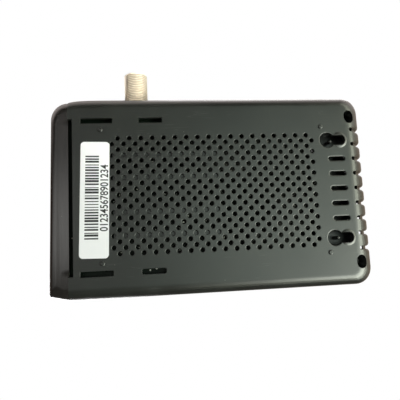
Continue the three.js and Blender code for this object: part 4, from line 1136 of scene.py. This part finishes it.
def painted_reflection_sphere(radius=1200, around=48, levels=25):
    """A sphere that only reflections see, glowing with painted reflections of the studio's light.
    Its tones are mixed by the dot products of a ray's way with a few directions. The room is brown,
    lighter towards +Y and darker towards -X. Towards +X it is pale low down. Below, it is dark
    round a painted pool of light, with a dim painted pane that the fascia shows, and a bright
    painted band towards +Y that the rear round shows."""
    rise = np.linspace(-math.pi / 2 + 0.02, math.pi / 2 - 0.02, levels)[:, None]
    angles = np.arange(around) / around * 2 * math.pi
    flat = radius * np.cos(rise)
    up = np.broadcast_to(radius * np.sin(rise), (levels, around))
    rings = np.stack([flat * np.cos(angles), flat * np.sin(angles), up], -1)
    tree = stage_tree(rings_to_piece("painted_reflection_sphere", rings), "painted reflection sphere")
    place = own_place(tree)
    way = new_node(tree, "ShaderNodeVectorMath", {"operation": "NORMALIZE"}, i0=place).outputs[0]

    def towards(x, y, z, low, high):
        """How near the ray's way is to a direction: its dot product with it, rescaled."""
        dot = new_node(tree, "ShaderNodeVectorMath", {"operation": "DOT_PRODUCT"}, i0=way,
                       i1=(x, y, z))
        return rescaled(tree, dot.outputs["Value"], low, high)

    side = tinted(tree, towards(0, 1, 0, -0.3, 0.9), (0.15, 0.11, 0.085), (0.74, 0.56, 0.41))
    side = tinted(tree, towards(-1, 0, 0, 0.2, 0.7), side, (0.09, 0.08, 0.065))
    east = tinted(tree, towards(0, 0, 1, 0.4, 0.65), (1.7, 1.5, 1.42), (0.3, 0.26, 0.23))
    side = tinted(tree, towards(1, 0, 0, 0.2, 0.5), side, east)
    # Painted reflections: a pool of light below, a dim pane for the fascia and a bright band for
    # the rear round.
    pool = towards(0.03, 0.32, -0.947, 0.915, 0.985)
    below = tinted(tree, pool, (0.06, 0.052, 0.04), (1.85, 2.2, 1.95))
    pane = times(tree, towards(1, 0, 0, -0.12, 0), towards(-1, 0, 0, -0.25, -0.1))
    pane = times(tree, pane, towards(0, -1, 0, 0.16, 0.24))
    below = tinted(tree, pane, below, (1.5, 1.48, 1.42))
    tone = tinted(tree, towards(0, 0, 1, -0.4, -0.15), below, side)
    band = times(tree, towards(0, 0, 1, -0.68, -0.6), towards(0, 0, -1, 0.36, 0.44))
    band = times(tree, band, towards(-0.2, 0.98, 0, 0.3, 0.75))
    tone = tinted(tree, band, tone, (8.2, 8.7, 6.9))
    glow = new_node(tree, "ShaderNodeEmission", Color=tone)
    ray = tree.nodes.new("ShaderNodeLightPath").outputs["Is Glossy Ray"]
    show_only(tree, ray, glow)


studio_floor()
# A glowing sphere that only reflections see holds the painted reflections of the studio's light.
painted_reflection_sphere()
softbox("key below", (-0.36, 0.61, -0.55), (0.75, 0.5), 12.3, (0.94, 1.0, 0.9))
softbox("fill below", (0.10, -0.30, -0.45), (0.3, 0.3), 0.12)
softbox("key above", (-0.35, -0.35, 0.55), (0.5, 0.5), 8.0)
softbox("fill above", (0.5, 0.2, 0.4), (0.5, 0.5), 3.0)
# A narrow lamp brightens the barrel of the aerial socket. Reflections don't see it.
snoot = softbox("snoot on the socket", (0.3, -0.1, -0.16), (0.03, 0.03), 0.013, (1, 0.93, 0.86),
                (0.049, -0.037, 0.01))
snoot.data.spread = math.radians(14)
snoot.visible_glossy = False

# The camera and reflections see a white ground, and every other ray a dim, cool one.
scene = bpy.context.scene
scene.world = bpy.data.worlds.new("studio")
scene.world.use_nodes = True
backdrop = scene.world.node_tree
backdrop.nodes.clear()
path = backdrop.nodes.new("ShaderNodeLightPath").outputs
clean = maths(backdrop, "MAXIMUM", path["Is Camera Ray"],
              maths(backdrop, "MAXIMUM", path["Is Glossy Ray"], path["Is Transmission Ray"]))
ambient = new_node(backdrop, "ShaderNodeBackground", Color=(0.95, 0.98, 1, 1), Strength=0.12)
white = new_node(backdrop, "ShaderNodeBackground", Color=(1, 1, 1, 1), Strength=1.0)
choose(backdrop, clean, ambient, white, "ShaderNodeOutputWorld")
scene.view_settings.view_transform = "Standard"

lens = bpy.data.cameras.new("camera")
lens.lens, lens.sensor_width, lens.clip_start = 36.0, 36.0, 0.005
scene.camera = new_object("camera", lens)
right, down, ahead = np.array([[-0.04727, 0.99346, -0.10398],
                               [-0.99170, -0.03421, 0.12396],
                               [0.11959, 0.10898, 0.98682]])
turn = Matrix(np.stack([right, -down, -ahead], 1).tolist()).to_4x4()
scene.camera.matrix_world = Matrix.Translation((-0.02290, -0.02515, -0.16272)) @ turn
